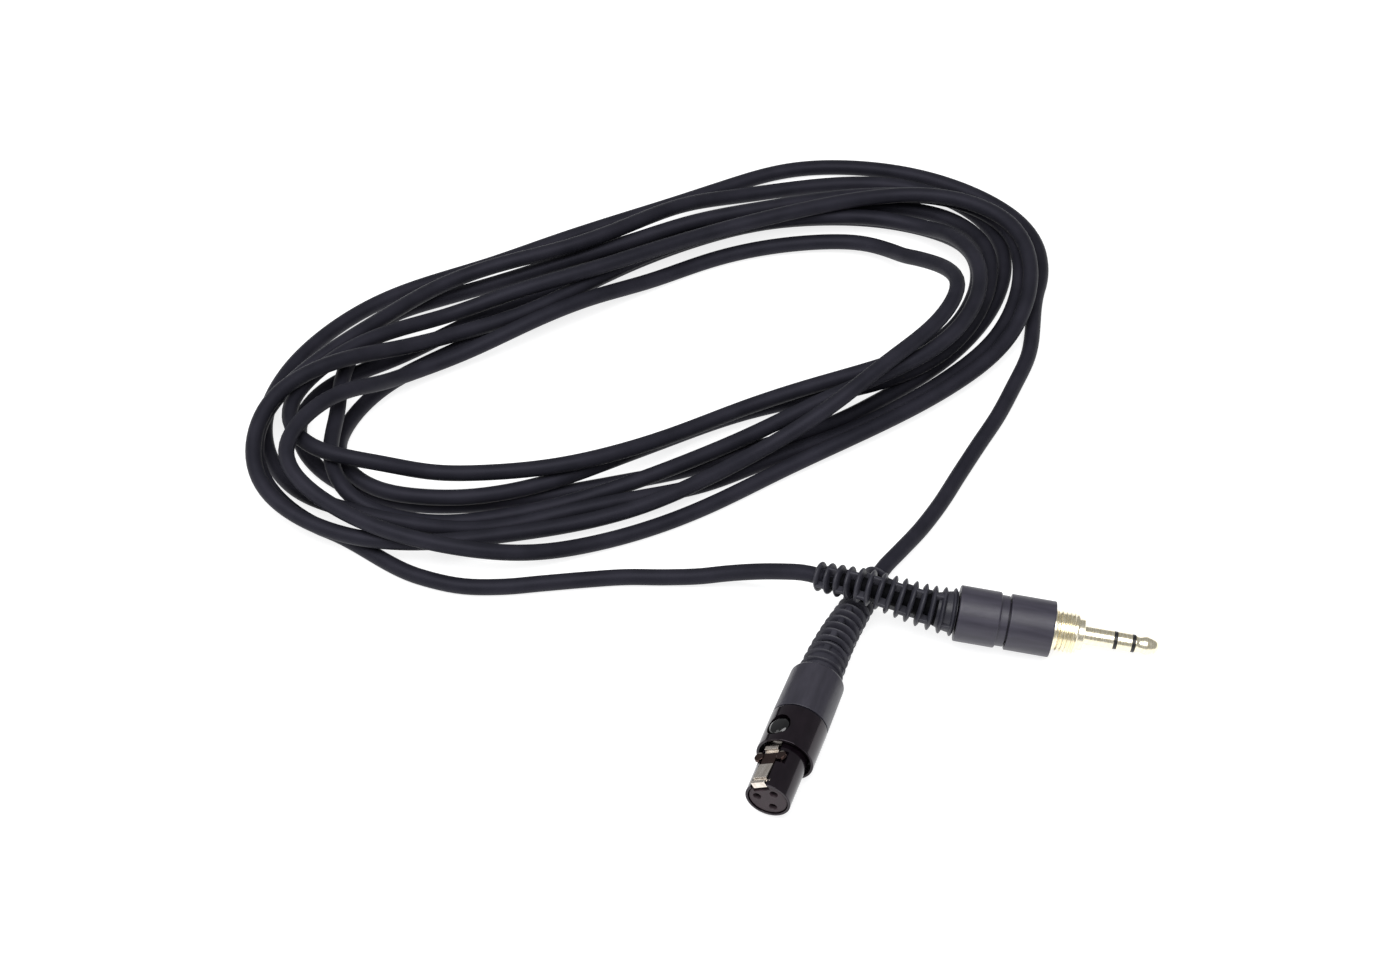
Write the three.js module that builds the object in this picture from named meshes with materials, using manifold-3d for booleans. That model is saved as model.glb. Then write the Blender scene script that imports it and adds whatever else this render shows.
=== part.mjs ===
// A thin audio cable laid down in a loose hank, with a three-hole miniature connector on one
// end and a locking 3.5 mm stereo jack on the other. Millimetres, +Z up, resting on z = 0.
import * as THREE from 'three'
import { mergeVertices } from 'three/addons/utils/BufferGeometryUtils.js'
import Module from 'manifold-3d'

const wasm = await Module()
wasm.setup()

// ---------------------------------------------------------------- driving dimensions
// The plan places below are on the board that the cable was laid out on. This is the middle
// of the finished cable's plan box there, and it becomes the part's origin.
const BOX_MIDDLE = [-1.04, 2.92]

// Cord
const CORD_D = 3.2
const CORD_R = CORD_D / 2
const CORD_LIE = CORD_R - CORD_D / 10 // height of its middle: the underside is flattened
const BUTT_GAP = 0.3 // between the ends of two stretches, and between a stretch and a boot
const BORE_R = 1.85 // of the boots and clamps that the cord passes through
const FREE_STEP = 2.5 * CORD_D // between the sections of a free stretch
const FREE_SIDES = 8

// Hank: a middle line with two round ends and two straight runs. A strand's place is given at
// 16 stations per turn, counted anticlockwise from the right end, in lanes outwards of it.
const END_R = 27.5
const RIGHT_END = [38, 53]
const LEFT_END = [-53, 10]
const LANE = 3.75
const REST = 3.64 // least distance between the middles of two strands that lie on each other
const CLIMB = 1.03 // a strand that climbs over another stands this much further above it
const STATIONS = 16
const LEAD_IN = 1 // stations before the first turn
const LANE_ROWS = [
  [1.25],
  [1.5, 2.25, 3, 3.75, 4, 3.25, 2.25, 0.5, -1.75, -3.75, -4.75, -2.5, -2.25, -1.25, -1.75, -1],
  [-0.5, 0.25, 0.5, 1.75, 1.75, 2, 1.25, -0.5, -2.75, -4.5, -4, -2, -1.5, -2.25, -2.75, -2.5],
  [-2.25, -2.25, -2, -0.5, -0.75, -1, -1, 1.25, 2.25, 1.25, 0.5, 2, 1.75, 0.75, -1.5, -3],
  [-4.5, -4.75, -3.75, -1.5, -1.75, -2.25, -2.25, -1.25, 0.5, 0.75, 1.75, 3, 2.75, 2.25, 1.25, 0.75],
  [1, 0, -1, -0.25, -0.25, 0.5, 0.25, -1, -1.75, -1.5, -1, 0, 0.5, 0.25, -0.75, -1.5],
  [0, -0.75, -0.5, 0.5, 0.25, 0, -1, -2.25, -3, -2.75, -2.5, -1.5, 0.25, 1.25, 0.5, 0.25],
  [0.5, 1.25, 1.5, 2.75, 3, 3, 3, 1.75, 1.25, 1.5]
]
// Which turn lies on which, lowest first, up to each station
const STACKS = [
  { until: 4.5, turns: [0, 1, 6, 5, 2, 3, 4] },
  { until: 10.4, turns: [5, 4, 0, 1, 6, 2, 3] },
  { until: STATIONS, turns: [5, -1, 0, 4, 1, 2, 3] }
]
const STRAIGHT_STEP = 1 // stations between the tube's rings: 24 rings per turn
const ROUND_STEP = 0.5
const RING_SIDES = 6
const KNOTS_PER_STATION = 2

// Free stretches: plan place and height of the cord's middle between the hank and a boot
const TO_CONNECTOR = [
  [38.6, -21.6, 2.3], [44.1, -14.3, 1.35], [48.2, -8.2, CORD_LIE], [52.6, 0.2, CORD_LIE],
  [56.2, 8, CORD_LIE], [59.7, 16, CORD_LIE], [63, 24.4, CORD_LIE], [65.8, 31.8, CORD_LIE]
]
const TO_JACK = [
  [-54.1, -26.4, CORD_LIE], [-46.1, -28.6, CORD_LIE], [-38.3, -28.8, CORD_LIE],
  [-30.4, -28, CORD_LIE], [-22.5, -27.2, CORD_LIE], [-14.5, -27, CORD_LIE],
  [-6.6, -27.2, 1.45], [0, -27.5, 2.1], [5.2, -28, 3.5], [10.4, -29.1, 5.3], [15.6, -30.8, 7.3]
]

// Miniature connector: its axis points out of the face, from the place where its rear sleeve
// is entered, and its parts are turned about the axis by its roll.
const MINI_REAR = [23.2, -53.2, 5.56]
const MINI_FACE = [12.4, -84.7, 5.56]
const MINI_ROLL = THREE.MathUtils.degToRad(29)
const SLEEVE_X = [3.2, 14.3]
const SLEEVE_R = [5.3, 5.5]
const SLEEVE_BORE = 4.35
const SHELL_X = [14.6, 23.3]
const SHELL_R = 5.55
const SHELL_BORE = 4.65
const HOOD_DEPTH = 2.6
const HOOD_BORE = 5
const NOSE_X = [15.4, 33.3]
const NOSE_R = 4.35
const NOSE_WALL = 0.5
const INSERT_R = 3.7
const CONTACT_CIRCLE = 2.1
const CONTACT_ANGLES = [60, 180, 300] // from the latch, about the axis
const CONTACT_R = 0.92
const PIN_HOLE_R = 0.65
const BUTTON_X = 19.45
const BUTTON_HOLE_R = 2.45
const BUTTON_R = 2.15
const BUTTON_TOP = 5.2
const LATCH_WIDTH = 2.9
const LATCH_UNDER = 3.4 // height of the latch's underside above the axis
const LATCH_PIN_X = 32
const LATCH_PIN_R = 0.3
const LUG_X = 26.05
const LUG_R = 1.05
const GROOVE_WIDTH = 3.4
const GROOVE_FLOOR = 2.3

// Jack: its axis points at the tip, from the rear end of its barrel
const JACK_REAR = [48.9, -41.4, 7.75]
const JACK_SHOULDER = [67.4, -43.65, 5.46]
const JACK_R = 5.4
const JACK_NECK = [7.9, 9.5]
const JACK_NECK_R = 4.9
const NUT_X = [9.8, 18.4]
const THREAD_R = 3.95
const THREAD_DEPTH = 0.3
const THREAD_PITCH = 0.8
const THREAD_END = 23.2
const NUT_END = 24.4
const NUT_END_R = 3
const NUT_COLLAR = { end: 18.8, radius: 4 } // plain ring between the nut's shoulder and its thread
const SHANK_R = 1.75
const SLEEVE_END = 30.2
const RING_X = [30.9, 33.7]
const TIP_X = [34.4, 38.9]

// Boots: middle line from the thick end, radius there and at the thin end, and the ribs
const MINI_BOOT_LINE = [[25.9, -45.7, 4.8], [29.7, -37, 3.5], [32, -32.4, 3.15], [34.2, -28.4, 3]]
const MINI_BOOT_R = [4.4, 2.8]
const MINI_BOOT_RIBS = { count: 11, pitch: 1.8, rib: 0.8, depth: 0.95 }
const JACK_BOOT_LINE = [
  [43.8, -39.95, 8.7], [38.1, -38.9, 9.8], [32.4, -37.5, 10.5], [27.7, -35.85, 10.3], [23, -33.8, 9.6]
]
const JACK_BOOT_R = [4.7, 2.9]
const JACK_BOOT_RIBS = { count: 12, pitch: 2.07, rib: 0.8, depth: 1.5 }
const BOOT_SIDES = 16
const TURNED_SIDES = 32
const SMALL_SIDES = 20

// ---------------------------------------------------------------- materials
function finish (color, roughness, metalness) {
  return new THREE.MeshStandardMaterial({ color, roughness, metalness })
}
const cordJacket = finish(0x2b2b33, 0.45, 0)
const bootRubber = finish(0x26262b, 0.6, 0)
const blackBarrel = finish(0x2f2d3a, 0.42, 0.1)
const blackShell = finish(0x1b1b20, 0.28, 0.4)
const insertPlastic = finish(0x4a3f49, 0.55, 0)
const bareSteel = finish(0xd8cbb8, 0.3, 1)
const gold = finish(0xe8cf8a, 0.25, 1)
const blackPlastic = finish(0x151517, 0.4, 0)
const wireInks = [finish(0x9c2b22, 0.5, 0), finish(0xd7d3c8, 0.5, 0), finish(0x2a2a2a, 0.5, 0)]

// ---------------------------------------------------------------- geometry helpers
const ALONG = new THREE.Vector3(1, 0, 0)
const UP = new THREE.Vector3(0, 0, 1)

function toVector (place) {
  return new THREE.Vector3(...place)
}

// Position-only geometry with shared corners merged and collapsed triangles left out
function weld (geometry) {
  const bare = geometry.clone()
  bare.deleteAttribute('normal')
  bare.deleteAttribute('uv')
  const merged = mergeVertices(bare, 1e-4)
  const corners = Array.from(merged.index.array)
  const kept = []
  for (let i = 0; i < corners.length; i += 3) {
    const [a, b, c] = corners.slice(i, i + 3)
    if (a !== b && b !== c && c !== a) kept.push(a, b, c)
  }
  merged.setIndex(kept)
  return merged
}

function toSolid (geometry) {
  const bare = weld(geometry)
  return new wasm.Manifold(new wasm.Mesh({
    numProp: 3,
    vertProperties: new Float32Array(bare.attributes.position.array),
    triVerts: new Uint32Array(bare.index.array)
  }))
}

function toGeometry (solid) {
  const mesh = solid.getMesh()
  const geometry = new THREE.BufferGeometry()
  geometry.setAttribute('position', new THREE.BufferAttribute(mesh.vertProperties, 3))
  geometry.setIndex(new THREE.BufferAttribute(mesh.triVerts, 1))
  return geometry
}

function cut (geometry, ...tools) {
  return toGeometry(tools.reduce((rest, tool) => rest.subtract(toSolid(tool)), toSolid(geometry)))
}

function join (geometry, ...others) {
  return toGeometry(others.reduce((sum, other) => sum.add(toSolid(other)), toSolid(geometry)))
}

// A turned piece about the X axis. The outline holds [x, radius] places, rear to front along
// the outside; a hollow piece's outline comes back along its bore.
function turned (outline, sides = TURNED_SIDES, hollow = true) {
  const points = outline.map(([x, radius]) => new THREE.Vector2(radius, x))
  if (hollow) points.push(points[0].clone())
  return new THREE.LatheGeometry(points, sides).rotateZ(-Math.PI / 2)
}

function rod (fromX, toX, radius, sides = SMALL_SIDES) {
  return turned([[fromX, 0], [fromX, radius], [toX, radius], [toX, 0]], sides, false)
}

// A rod across the axis, at a height above it
function crossRod (x, height, length, radius, sides = SMALL_SIDES) {
  return new THREE.CylinderGeometry(radius, radius, length, sides).translate(x, 0, height)
}

// A rod standing on the axis's top side
function upRod (x, fromZ, toZ, radius, sides = SMALL_SIDES) {
  return new THREE.CylinderGeometry(radius, radius, toZ - fromZ, sides)
    .rotateX(Math.PI / 2).translate(x, 0, (fromZ + toZ) / 2)
}

function block ([x0, x1], [y0, y1], [z0, z1]) {
  return new THREE.BoxGeometry(x1 - x0, y1 - y0, z1 - z0)
    .translate((x0 + x1) / 2, (y0 + y1) / 2, (z0 + z1) / 2)
}

// An outline of [x, z] places, extruded across the axis to a width
function plate (outline, width) {
  const shape = new THREE.Shape(outline.map(([x, z]) => new THREE.Vector2(x, z)))
  return new THREE.ExtrudeGeometry(shape, { depth: width, bevelEnabled: false })
    .rotateX(Math.PI / 2).translate(0, width / 2, 0)
}

function ringPoints (centre, along, radius, sides, turn = 0) {
  const side = UP.clone().cross(along).normalize()
  const up = along.clone().cross(side)
  return Array.from({ length: sides }, (_, j) => {
    const angle = turn + j * 2 * Math.PI / sides
    return centre.clone()
      .addScaledVector(side, radius * Math.cos(angle))
      .addScaledVector(up, radius * Math.sin(angle))
  })
}

// Skin between rings of equally many points; a positive turn of each ring faces outwards
function skin (rings, first, indices, inwards = false) {
  const sides = rings[0].length
  for (let i = 0; i + 1 < rings.length; i++) {
    for (let j = 0; j < sides; j++) {
      const a = first + i * sides + j
      const b = first + i * sides + (j + 1) % sides
      const [c, d] = [a + sides, b + sides]
      indices.push(...(inwards ? [a, c, b, b, c, d] : [a, b, c, b, d, c]))
    }
  }
}

function geometryOf (points, indices) {
  const geometry = new THREE.BufferGeometry()
  const places = points.flatMap(p => [p.x, p.y, p.z])
  geometry.setAttribute('position', new THREE.Float32BufferAttribute(places, 3))
  geometry.setIndex(indices)
  return geometry
}

// A solid tube through rings, with a flat cap on both ends
function cappedTube (rings) {
  const sides = rings[0].length
  const last = (rings.length - 1) * sides
  const indices = []
  skin(rings, 0, indices)
  for (let j = 1; j + 1 < sides; j++) {
    indices.push(0, j + 1, j, last, last + j, last + j + 1)
  }
  return geometryOf(rings.flat(), indices)
}

// A tube with a bore, open at both ends, between its outer and its inner rings
function boredTube (outer, inner) {
  const sides = outer[0].length
  const bore = outer.length * sides
  const outerEnd = bore - sides
  const innerEnd = bore + (inner.length - 1) * sides
  const indices = []
  skin(outer, 0, indices)
  skin(inner, bore, indices, true)
  for (let j = 0; j < sides; j++) {
    const k = (j + 1) % sides
    indices.push(j, bore + j, k, k, bore + j, bore + k)
    indices.push(outerEnd + j, outerEnd + k, innerEnd + j, outerEnd + k, innerEnd + k, innerEnd + j)
  }
  return geometryOf([...outer.flat(), ...inner.flat()], indices)
}

function liftToFloor (geometry) {
  const places = geometry.attributes.position
  for (let i = 0; i < places.count; i++) places.setZ(i, Math.max(0, places.getZ(i)))
  return geometry
}

// A plain round tube along a line of places
function cordAlong (places, radius, sides, step) {
  const path = new THREE.CatmullRomCurve3(places.map(p => p.isVector3 ? p : toVector(p)))
  const section = new THREE.Shape(Array.from({ length: sides }, (_, j) => {
    const angle = (j + 0.5) * 2 * Math.PI / sides
    return new THREE.Vector2(radius * Math.cos(angle), radius * Math.sin(angle))
  }))
  const steps = Math.max(2, Math.ceil(path.getLength() / step))
  return new THREE.ExtrudeGeometry(section, { steps, extrudePath: path })
}

const cable = new THREE.Group()
cable.position.set(-BOX_MIDDLE[0], -BOX_MIDDLE[1], 0)

function addMesh (parent, name, geometry, material) {
  const mesh = new THREE.Mesh(weld(geometry), material)
  mesh.name = name
  parent.add(mesh)
  return mesh
}

// ---------------------------------------------------------------- hank
const rightEnd = new THREE.Vector2(...RIGHT_END)
const leftEnd = new THREE.Vector2(...LEFT_END)
const runAngle = rightEnd.clone().sub(leftEnd).angle()

// Place and outward normal of the middle line at a station
function middleLine (station) {
  const s = ((station % STATIONS) + STATIONS) % STATIONS
  const round = (end, quarter) => {
    const angle = runAngle + quarter * Math.PI / 4
    const normal = new THREE.Vector2(Math.cos(angle), Math.sin(angle))
    return { place: end.clone().addScaledVector(normal, END_R), normal }
  }
  if (s < 2) return round(rightEnd, s)
  if (s >= 14) return round(rightEnd, s - STATIONS)
  if (s >= 6 && s < 10) return round(leftEnd, s - 4)
  const far = s < 6
  const [from, to] = far ? [rightEnd, leftEnd] : [leftEnd, rightEnd]
  const { normal } = round(from, far ? 2 : -2)
  const along = (s - (far ? 2 : 10)) / 4
  return { place: from.clone().lerp(to, along).addScaledVector(normal, END_R), normal }
}

const lanes = LANE_ROWS.flat()
const lastStation = lanes.length - 1 - LEAD_IN

// Smooth curve through the lanes, at a station counted from the start of the first turn
function laneAt (station) {
  const x = station + LEAD_IN
  const k = Math.min(Math.floor(x), lanes.length - 2)
  const u = x - k
  const [b, c] = [lanes[k], lanes[k + 1]]
  const a = lanes[k - 1] ?? 2 * b - c
  const d = lanes[k + 2] ?? 2 * c - b
  const bend = 2 * a - 5 * b + 4 * c - d
  const twist = 3 * b - a - 3 * c + d
  return 0.5 * (2 * b + (c - a) * u + bend * u ** 2 + twist * u ** 3)
}

// Smooth curve through the knots' heights that never overshoots them
function heightAt (knots, x) {
  const k = Math.min(Math.floor(x), knots.length - 2)
  const u = x - k
  const slope = i => {
    if (i < 1 || i + 1 >= knots.length) return 0
    const [before, after] = [knots[i] - knots[i - 1], knots[i + 1] - knots[i]]
    return before * after <= 0 ? 0 : 2 * before * after / (before + after)
  }
  return (2 * u ** 3 - 3 * u ** 2 + 1) * knots[k] + (u ** 3 - 2 * u ** 2 + u) * slope(k) +
    (3 * u ** 2 - 2 * u ** 3) * knots[k + 1] + (u ** 3 - u ** 2) * slope(k + 1)
}

const isStraight = s => (s >= 2 && s < 6) || (s >= 10 && s < 14)
const withinTurn = station => (station + STATIONS) % STATIONS
const ringStations = []
for (let s = -LEAD_IN; s <= lastStation; s += isStraight(withinTurn(s)) ? STRAIGHT_STEP : ROUND_STEP) {
  ringStations.push(s)
}
const ringOffsets = ringStations.map(s => laneAt(s) * LANE)

// Plan place of a ring, and of any station along the chords between the rings
const ringPlaces = ringStations.map((s, i) => {
  const { place, normal } = middleLine(s)
  return place.clone().addScaledVector(normal, ringOffsets[i])
})

function alongChords (values, station, mix) {
  const last = ringStations.length - 2
  const i = Math.min(last, ringStations.findLastIndex(s => s <= station))
  const [from, to] = [ringStations[i], ringStations[i + 1]]
  return mix(values[i], values[i + 1], (station - from) / (to - from))
}
const planAt = station => alongChords(ringPlaces, station, (a, b, u) => a.clone().lerp(b, u))

// The station near a given one where the hank's line comes closest in plan to a place
function nearestStation (place, station) {
  const WINDOW = 1
  const nearest = { apart: Infinity }
  for (let i = 0; i + 1 < ringStations.length; i++) {
    const [from, to] = [ringStations[i], ringStations[i + 1]]
    if (Math.abs((from + to) / 2 - station) > WINDOW) continue
    const chord = ringPlaces[i + 1].clone().sub(ringPlaces[i])
    const reach = place.clone().sub(ringPlaces[i]).dot(chord) / chord.lengthSq()
    const u = THREE.MathUtils.clamp(reach, 0, 1)
    const apart = ringPlaces[i].clone().addScaledVector(chord, u).distanceTo(place)
    if (apart < nearest.apart) Object.assign(nearest, { apart, station: THREE.MathUtils.lerp(from, to, u) })
  }
  return nearest
}

// Places where one strand comes closer to another in plan than strands may: the stations of
// the upper and the lower one, and how far the upper one must stand above the lower
function contacts () {
  const SAMPLE = 1 / 8
  const found = []
  for (let station = -LEAD_IN; station < lastStation; station += SAMPLE) {
    const place = planAt(station)
    const turn = Math.floor(station / STATIONS)
    const s = withinTurn(station)
    const { turns } = STACKS.find(({ until }) => s <= until)
    for (const other of turns) {
      const across = other * STATIONS + s
      if (other === turn || across < -LEAD_IN || across > lastStation) continue
      const nearest = nearestStation(place, across)
      if (nearest.apart >= REST) continue
      const above = turns.indexOf(turn) > turns.indexOf(other)
      const [upper, lower] = above ? [station, nearest.station] : [nearest.station, station]
      found.push({ upper, lower, rise: CLIMB * Math.sqrt(REST ** 2 - nearest.apart ** 2) })
    }
  }
  return found
}

// Lay the strands down: every knot starts on the floor and rises until nothing touches
function settle () {
  const knots = Array((lastStation + LEAD_IN) * KNOTS_PER_STATION + 1).fill(CORD_LIE)
  const knotOf = station => (station + LEAD_IN) * KNOTS_PER_STATION
  const places = contacts()
  for (let pass = 0; pass < 300; pass++) {
    const rings = ringStations.map(s => heightAt(knots, knotOf(s)))
    const chordHeight = station => alongChords(rings, station, THREE.MathUtils.lerp)
    const lift = Array(knots.length).fill(0)
    let worst = 0
    for (const { upper, lower, rise } of places) {
      const short = chordHeight(lower) + rise - chordHeight(upper)
      if (short < 0.01) continue
      worst = Math.max(worst, short)
      const x = knotOf(upper)
      const k = Math.min(Math.floor(x), knots.length - 2)
      const u = x - k
      const share = 0.7 * short / ((1 - u) ** 2 + u ** 2)
      lift[k] = Math.max(lift[k], share * (1 - u))
      lift[k + 1] = Math.max(lift[k + 1], share * u)
    }
    lift.forEach((rise, i) => { knots[i] += rise })
    if (worst < 0.02) break
  }
  return ringStations.map(s => heightAt(knots, knotOf(s)))
}

const ringHeights = settle()
const coilLine = ringPlaces.map((place, i) => new THREE.Vector3(place.x, place.y, ringHeights[i]))

function directionAt (line, i) {
  const before = line[Math.max(0, i - 1)]
  const after = line[Math.min(line.length - 1, i + 1)]
  return after.clone().sub(before).normalize()
}

// Least distance between the surfaces of two strands, on points along the whole line
function leastGap (line) {
  const POINTS = 6
  const SKIP = 2 // neighbouring chords that are the same strand
  const chord = new THREE.Line3()
  const nearest = new THREE.Vector3()
  let least = Infinity
  for (let i = 0; i + 1 < line.length; i++) {
    for (let m = 0; m < POINTS; m++) {
      const point = line[i].clone().lerp(line[i + 1], m / POINTS)
      for (let k = i + SKIP; k + 1 < line.length; k++) {
        chord.set(line[k], line[k + 1]).closestPointToPoint(point, true, nearest)
        least = Math.min(least, nearest.distanceTo(point))
      }
    }
  }
  return least - CORD_D
}

const coilRings = coilLine.map((centre, i) => {
  return ringPoints(centre, directionAt(coilLine, i), CORD_R, RING_SIDES)
})
addMesh(cable, 'cord_coil', liftToFloor(cappedTube(coilRings)), cordJacket)
const coilLength = coilLine.slice(1).reduce((sum, p, i) => sum + p.distanceTo(coilLine[i]), 0)
const highest = Math.max(...ringHeights) + CORD_R
console.log(`coil ${coilLength.toFixed(0)} mm long, ${highest.toFixed(1)} mm high,`,
  `least gap to itself ${leastGap(coilLine).toFixed(2)} mm`)

// ---------------------------------------------------------------- connectors' frames
// A group whose X axis runs from one place to another and whose Z axis is the upper side
function axisGroup (from, to, roll = 0) {
  const start = toVector(from)
  const along = toVector(to).sub(start).normalize()
  const side = UP.clone().cross(along).normalize()
  const up = along.clone().cross(side)
  const group = new THREE.Group()
  group.quaternion.setFromRotationMatrix(new THREE.Matrix4().makeBasis(along, side, up))
  group.quaternion.multiply(new THREE.Quaternion().setFromAxisAngle(ALONG, roll))
  group.position.copy(start)
  group.updateMatrix()
  cable.add(group)
  return { group, start, along, at: x => start.clone().addScaledVector(along, x) }
}
const mini = axisGroup(MINI_REAR, MINI_FACE, MINI_ROLL)
const jack = axisGroup(JACK_REAR, JACK_SHOULDER)

// ---------------------------------------------------------------- boots
// A moulded strain relief along a line: a smooth collar, then ribs with grooves between them
function bootRings (path, [thick, thin], { count, pitch, rib, depth }) {
  const length = path.getLength()
  const ribbed = count * pitch - (pitch - rib)
  const radiusAt = s => THREE.MathUtils.lerp(thick, thin, s / length)
  const grooveAt = s => Math.max(BORE_R + 0.35, radiusAt(s) - depth)
  const stops = [[0, thick]]
  for (let i = 0; i < count; i++) {
    const s = length - ribbed + i * pitch
    if (i > 0) stops.push([s, grooveAt(s)])
    stops.push([s, radiusAt(s)], [s + rib, radiusAt(s + rib)])
    if (i + 1 < count) stops.push([s + rib, grooveAt(s + rib)])
  }
  const ring = (s, radius) => {
    const u = Math.min(1, s / length)
    return ringPoints(path.getPointAt(u), path.getTangentAt(u), radius, BOOT_SIDES)
  }
  const boreStops = Array.from({ length: 9 }, (_, i) => i / 8 * length)
  return { outer: stops.map(([s, r]) => ring(s, r)), inner: boreStops.map(s => ring(s, BORE_R)) }
}

function bootPath (line, connector, fromX) {
  const start = connector.at(fromX)
  const straight = connector.at(fromX - 2)
  return new THREE.CatmullRomCurve3([start, straight, ...line.map(toVector)])
}

const BOOT_SPIGOT = { length: 2.2, radius: 4 }
const miniBootPath = bootPath(MINI_BOOT_LINE, mini, SLEEVE_X[0] - BUTT_GAP)
const jackBootPath = bootPath(JACK_BOOT_LINE, jack, -BUTT_GAP)

// The connector's boot has a plain spigot that its rear sleeve grips
const miniBoot = bootRings(miniBootPath, MINI_BOOT_R, MINI_BOOT_RIBS)
const backwards = mini.along.clone().negate()
const spigotRing = (x, radius) => ringPoints(mini.at(x), backwards, radius, BOOT_SIDES)
const spigotRear = SLEEVE_X[0] - BUTT_GAP
const spigotEnd = spigotRear + BOOT_SPIGOT.length
const { radius: spigotR } = BOOT_SPIGOT
miniBoot.outer.unshift(spigotRing(spigotEnd, spigotR), spigotRing(spigotRear, spigotR))
miniBoot.inner.unshift(spigotRing(spigotEnd, BORE_R))
addMesh(cable, 'xlr_boot', boredTube(miniBoot.outer, miniBoot.inner), bootRubber)
const jackBoot = bootRings(jackBootPath, JACK_BOOT_R, JACK_BOOT_RIBS)
addMesh(cable, 'jack_boot', boredTube(jackBoot.outer, jackBoot.inner), bootRubber)

// ---------------------------------------------------------------- free stretches of cord
// Straight for one diameter and square to what a stretch meets at this end
function buttEnd (place, outwards) {
  const distances = [BUTT_GAP, BUTT_GAP + CORD_D, BUTT_GAP + 2 * CORD_D]
  return distances.map(d => place.clone().addScaledVector(outwards, d))
}
const hankStart = buttEnd(coilLine[0], directionAt(coilLine, 0).negate())
const hankEnd = buttEnd(coilLine.at(-1), directionAt(coilLine, coilLine.length - 1))
const miniExit = buttEnd(miniBootPath.getPointAt(1), miniBootPath.getTangentAt(1))
const jackExit = buttEnd(jackBootPath.getPointAt(1), jackBootPath.getTangentAt(1))
const freeRuns = {
  cord_to_xlr: [...miniExit.slice(0, 2), ...TO_CONNECTOR, ...hankStart.slice(0, 2).reverse()],
  cord_to_jack: [...hankEnd, ...TO_JACK, ...jackExit.slice(0, 2).reverse()]
}
for (const [name, places] of Object.entries(freeRuns)) {
  const tube = cordAlong(places, CORD_R, FREE_SIDES, FREE_STEP)
  addMesh(cable, name, liftToFloor(tube), cordJacket)
}

// ---------------------------------------------------------------- cord inside the connectors
const TAIL_END = { mini: 8.8, jack: 2.9 } // where the jacket is stripped, along each axis

// The jacketed cord from a boot's thin end to the clamp
function cordTail (name, path, connector, fromX, endX) {
  const count = 8
  const places = Array.from({ length: count }, (_, i) => path.getPointAt(1 - i / count))
  places.push(connector.at(fromX), connector.at(endX))
  addMesh(cable, name, cordAlong(places, CORD_R - 0.02, FREE_SIDES, CORD_D), cordJacket)
}
cordTail('xlr_cord_tail', miniBootPath, mini, SLEEVE_X[0], TAIL_END.mini)
cordTail('jack_cord_tail', jackBootPath, jack, 0, TAIL_END.jack)

// One insulated conductor from the stripped end of the cord to its terminal
const WIRE_R = 0.35
function conductor (connector, name, tailX, [endX, endY, endZ], ink) {
  const spread = 0.35 // how far the conductors stand apart where they leave the jacket
  const distance = Math.hypot(endY, endZ) || 1
  const start = [tailX, endY / distance * 2 * spread, endZ / distance * 2 * spread]
  const middle = [(tailX + endX) / 2, (start[1] + endY) / 2, (start[2] + endZ) / 2]
  addMesh(connector.group, name, cordAlong([start, middle, [endX, endY, endZ]], WIRE_R, 6, 1), ink)
}

// ---------------------------------------------------------------- miniature connector
const [sleeveRear, sleeveFront] = SLEEVE_X
const sleeveLip = 0.4
addMesh(mini.group, 'xlr_rear_sleeve', turned([
  [sleeveRear, SLEEVE_R[0] - sleeveLip / 2], [sleeveRear + sleeveLip, SLEEVE_R[0]],
  [sleeveFront, SLEEVE_R[1]], [sleeveFront, SLEEVE_BORE], [sleeveRear, SLEEVE_BORE]
]), blackBarrel)

const [shellRear, shellFront] = SHELL_X
const hoodX = shellFront - HOOD_DEPTH
const SPIGOT = { x: 9.2, outer: 4.1, inner: 3.6 } // of the front shell, inside the rear sleeve
const buttonHole = upRod(BUTTON_X, SHELL_BORE - 1.5, SHELL_R + 1, BUTTON_HOLE_R)
addMesh(mini.group, 'xlr_front_shell', cut(turned([
  [SPIGOT.x, SPIGOT.outer], [shellRear, SPIGOT.outer], [shellRear, SHELL_R],
  [shellFront - 0.2, SHELL_R], [shellFront, SHELL_R - 0.15], [shellFront, HOOD_BORE],
  [hoodX, HOOD_BORE], [hoodX, SHELL_BORE], [NOSE_X[0] - BUTT_GAP, SHELL_BORE],
  [NOSE_X[0] - BUTT_GAP, SPIGOT.inner], [SPIGOT.x, SPIGOT.inner]
]), buttonHole), blackShell)

// The nose: a thin tube, open along its top for the latch, round a moulded insert
const [noseRear, noseFront] = NOSE_X
const grooveFrom = 16
const lugSeat = block([LUG_X - 1.4, LUG_X + 1.4], [-3.8, 3.8], [3, NOSE_R + 1])
const latchSlot = block([grooveFrom, noseFront + 1], [-GROOVE_WIDTH / 2, GROOVE_WIDTH / 2], [0, NOSE_R + 1])
const buttonWell = upRod(BUTTON_X, 2.5, NOSE_R + 1, BUTTON_HOLE_R + 0.2)
const latchPinZ = LATCH_UNDER + 0.25
const pinHole = crossRod(LATCH_PIN_X, latchPinZ, 2 * NOSE_R, LATCH_PIN_R + 0.1, 12)
addMesh(mini.group, 'xlr_nose_tube', cut(turned([
  [noseRear, NOSE_R], [noseFront - 0.2, NOSE_R], [noseFront, NOSE_R - 0.15],
  [noseFront, NOSE_R - NOSE_WALL], [noseRear, NOSE_R - NOSE_WALL]
]), latchSlot, buttonWell, lugSeat, pinHole), blackShell)

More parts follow.
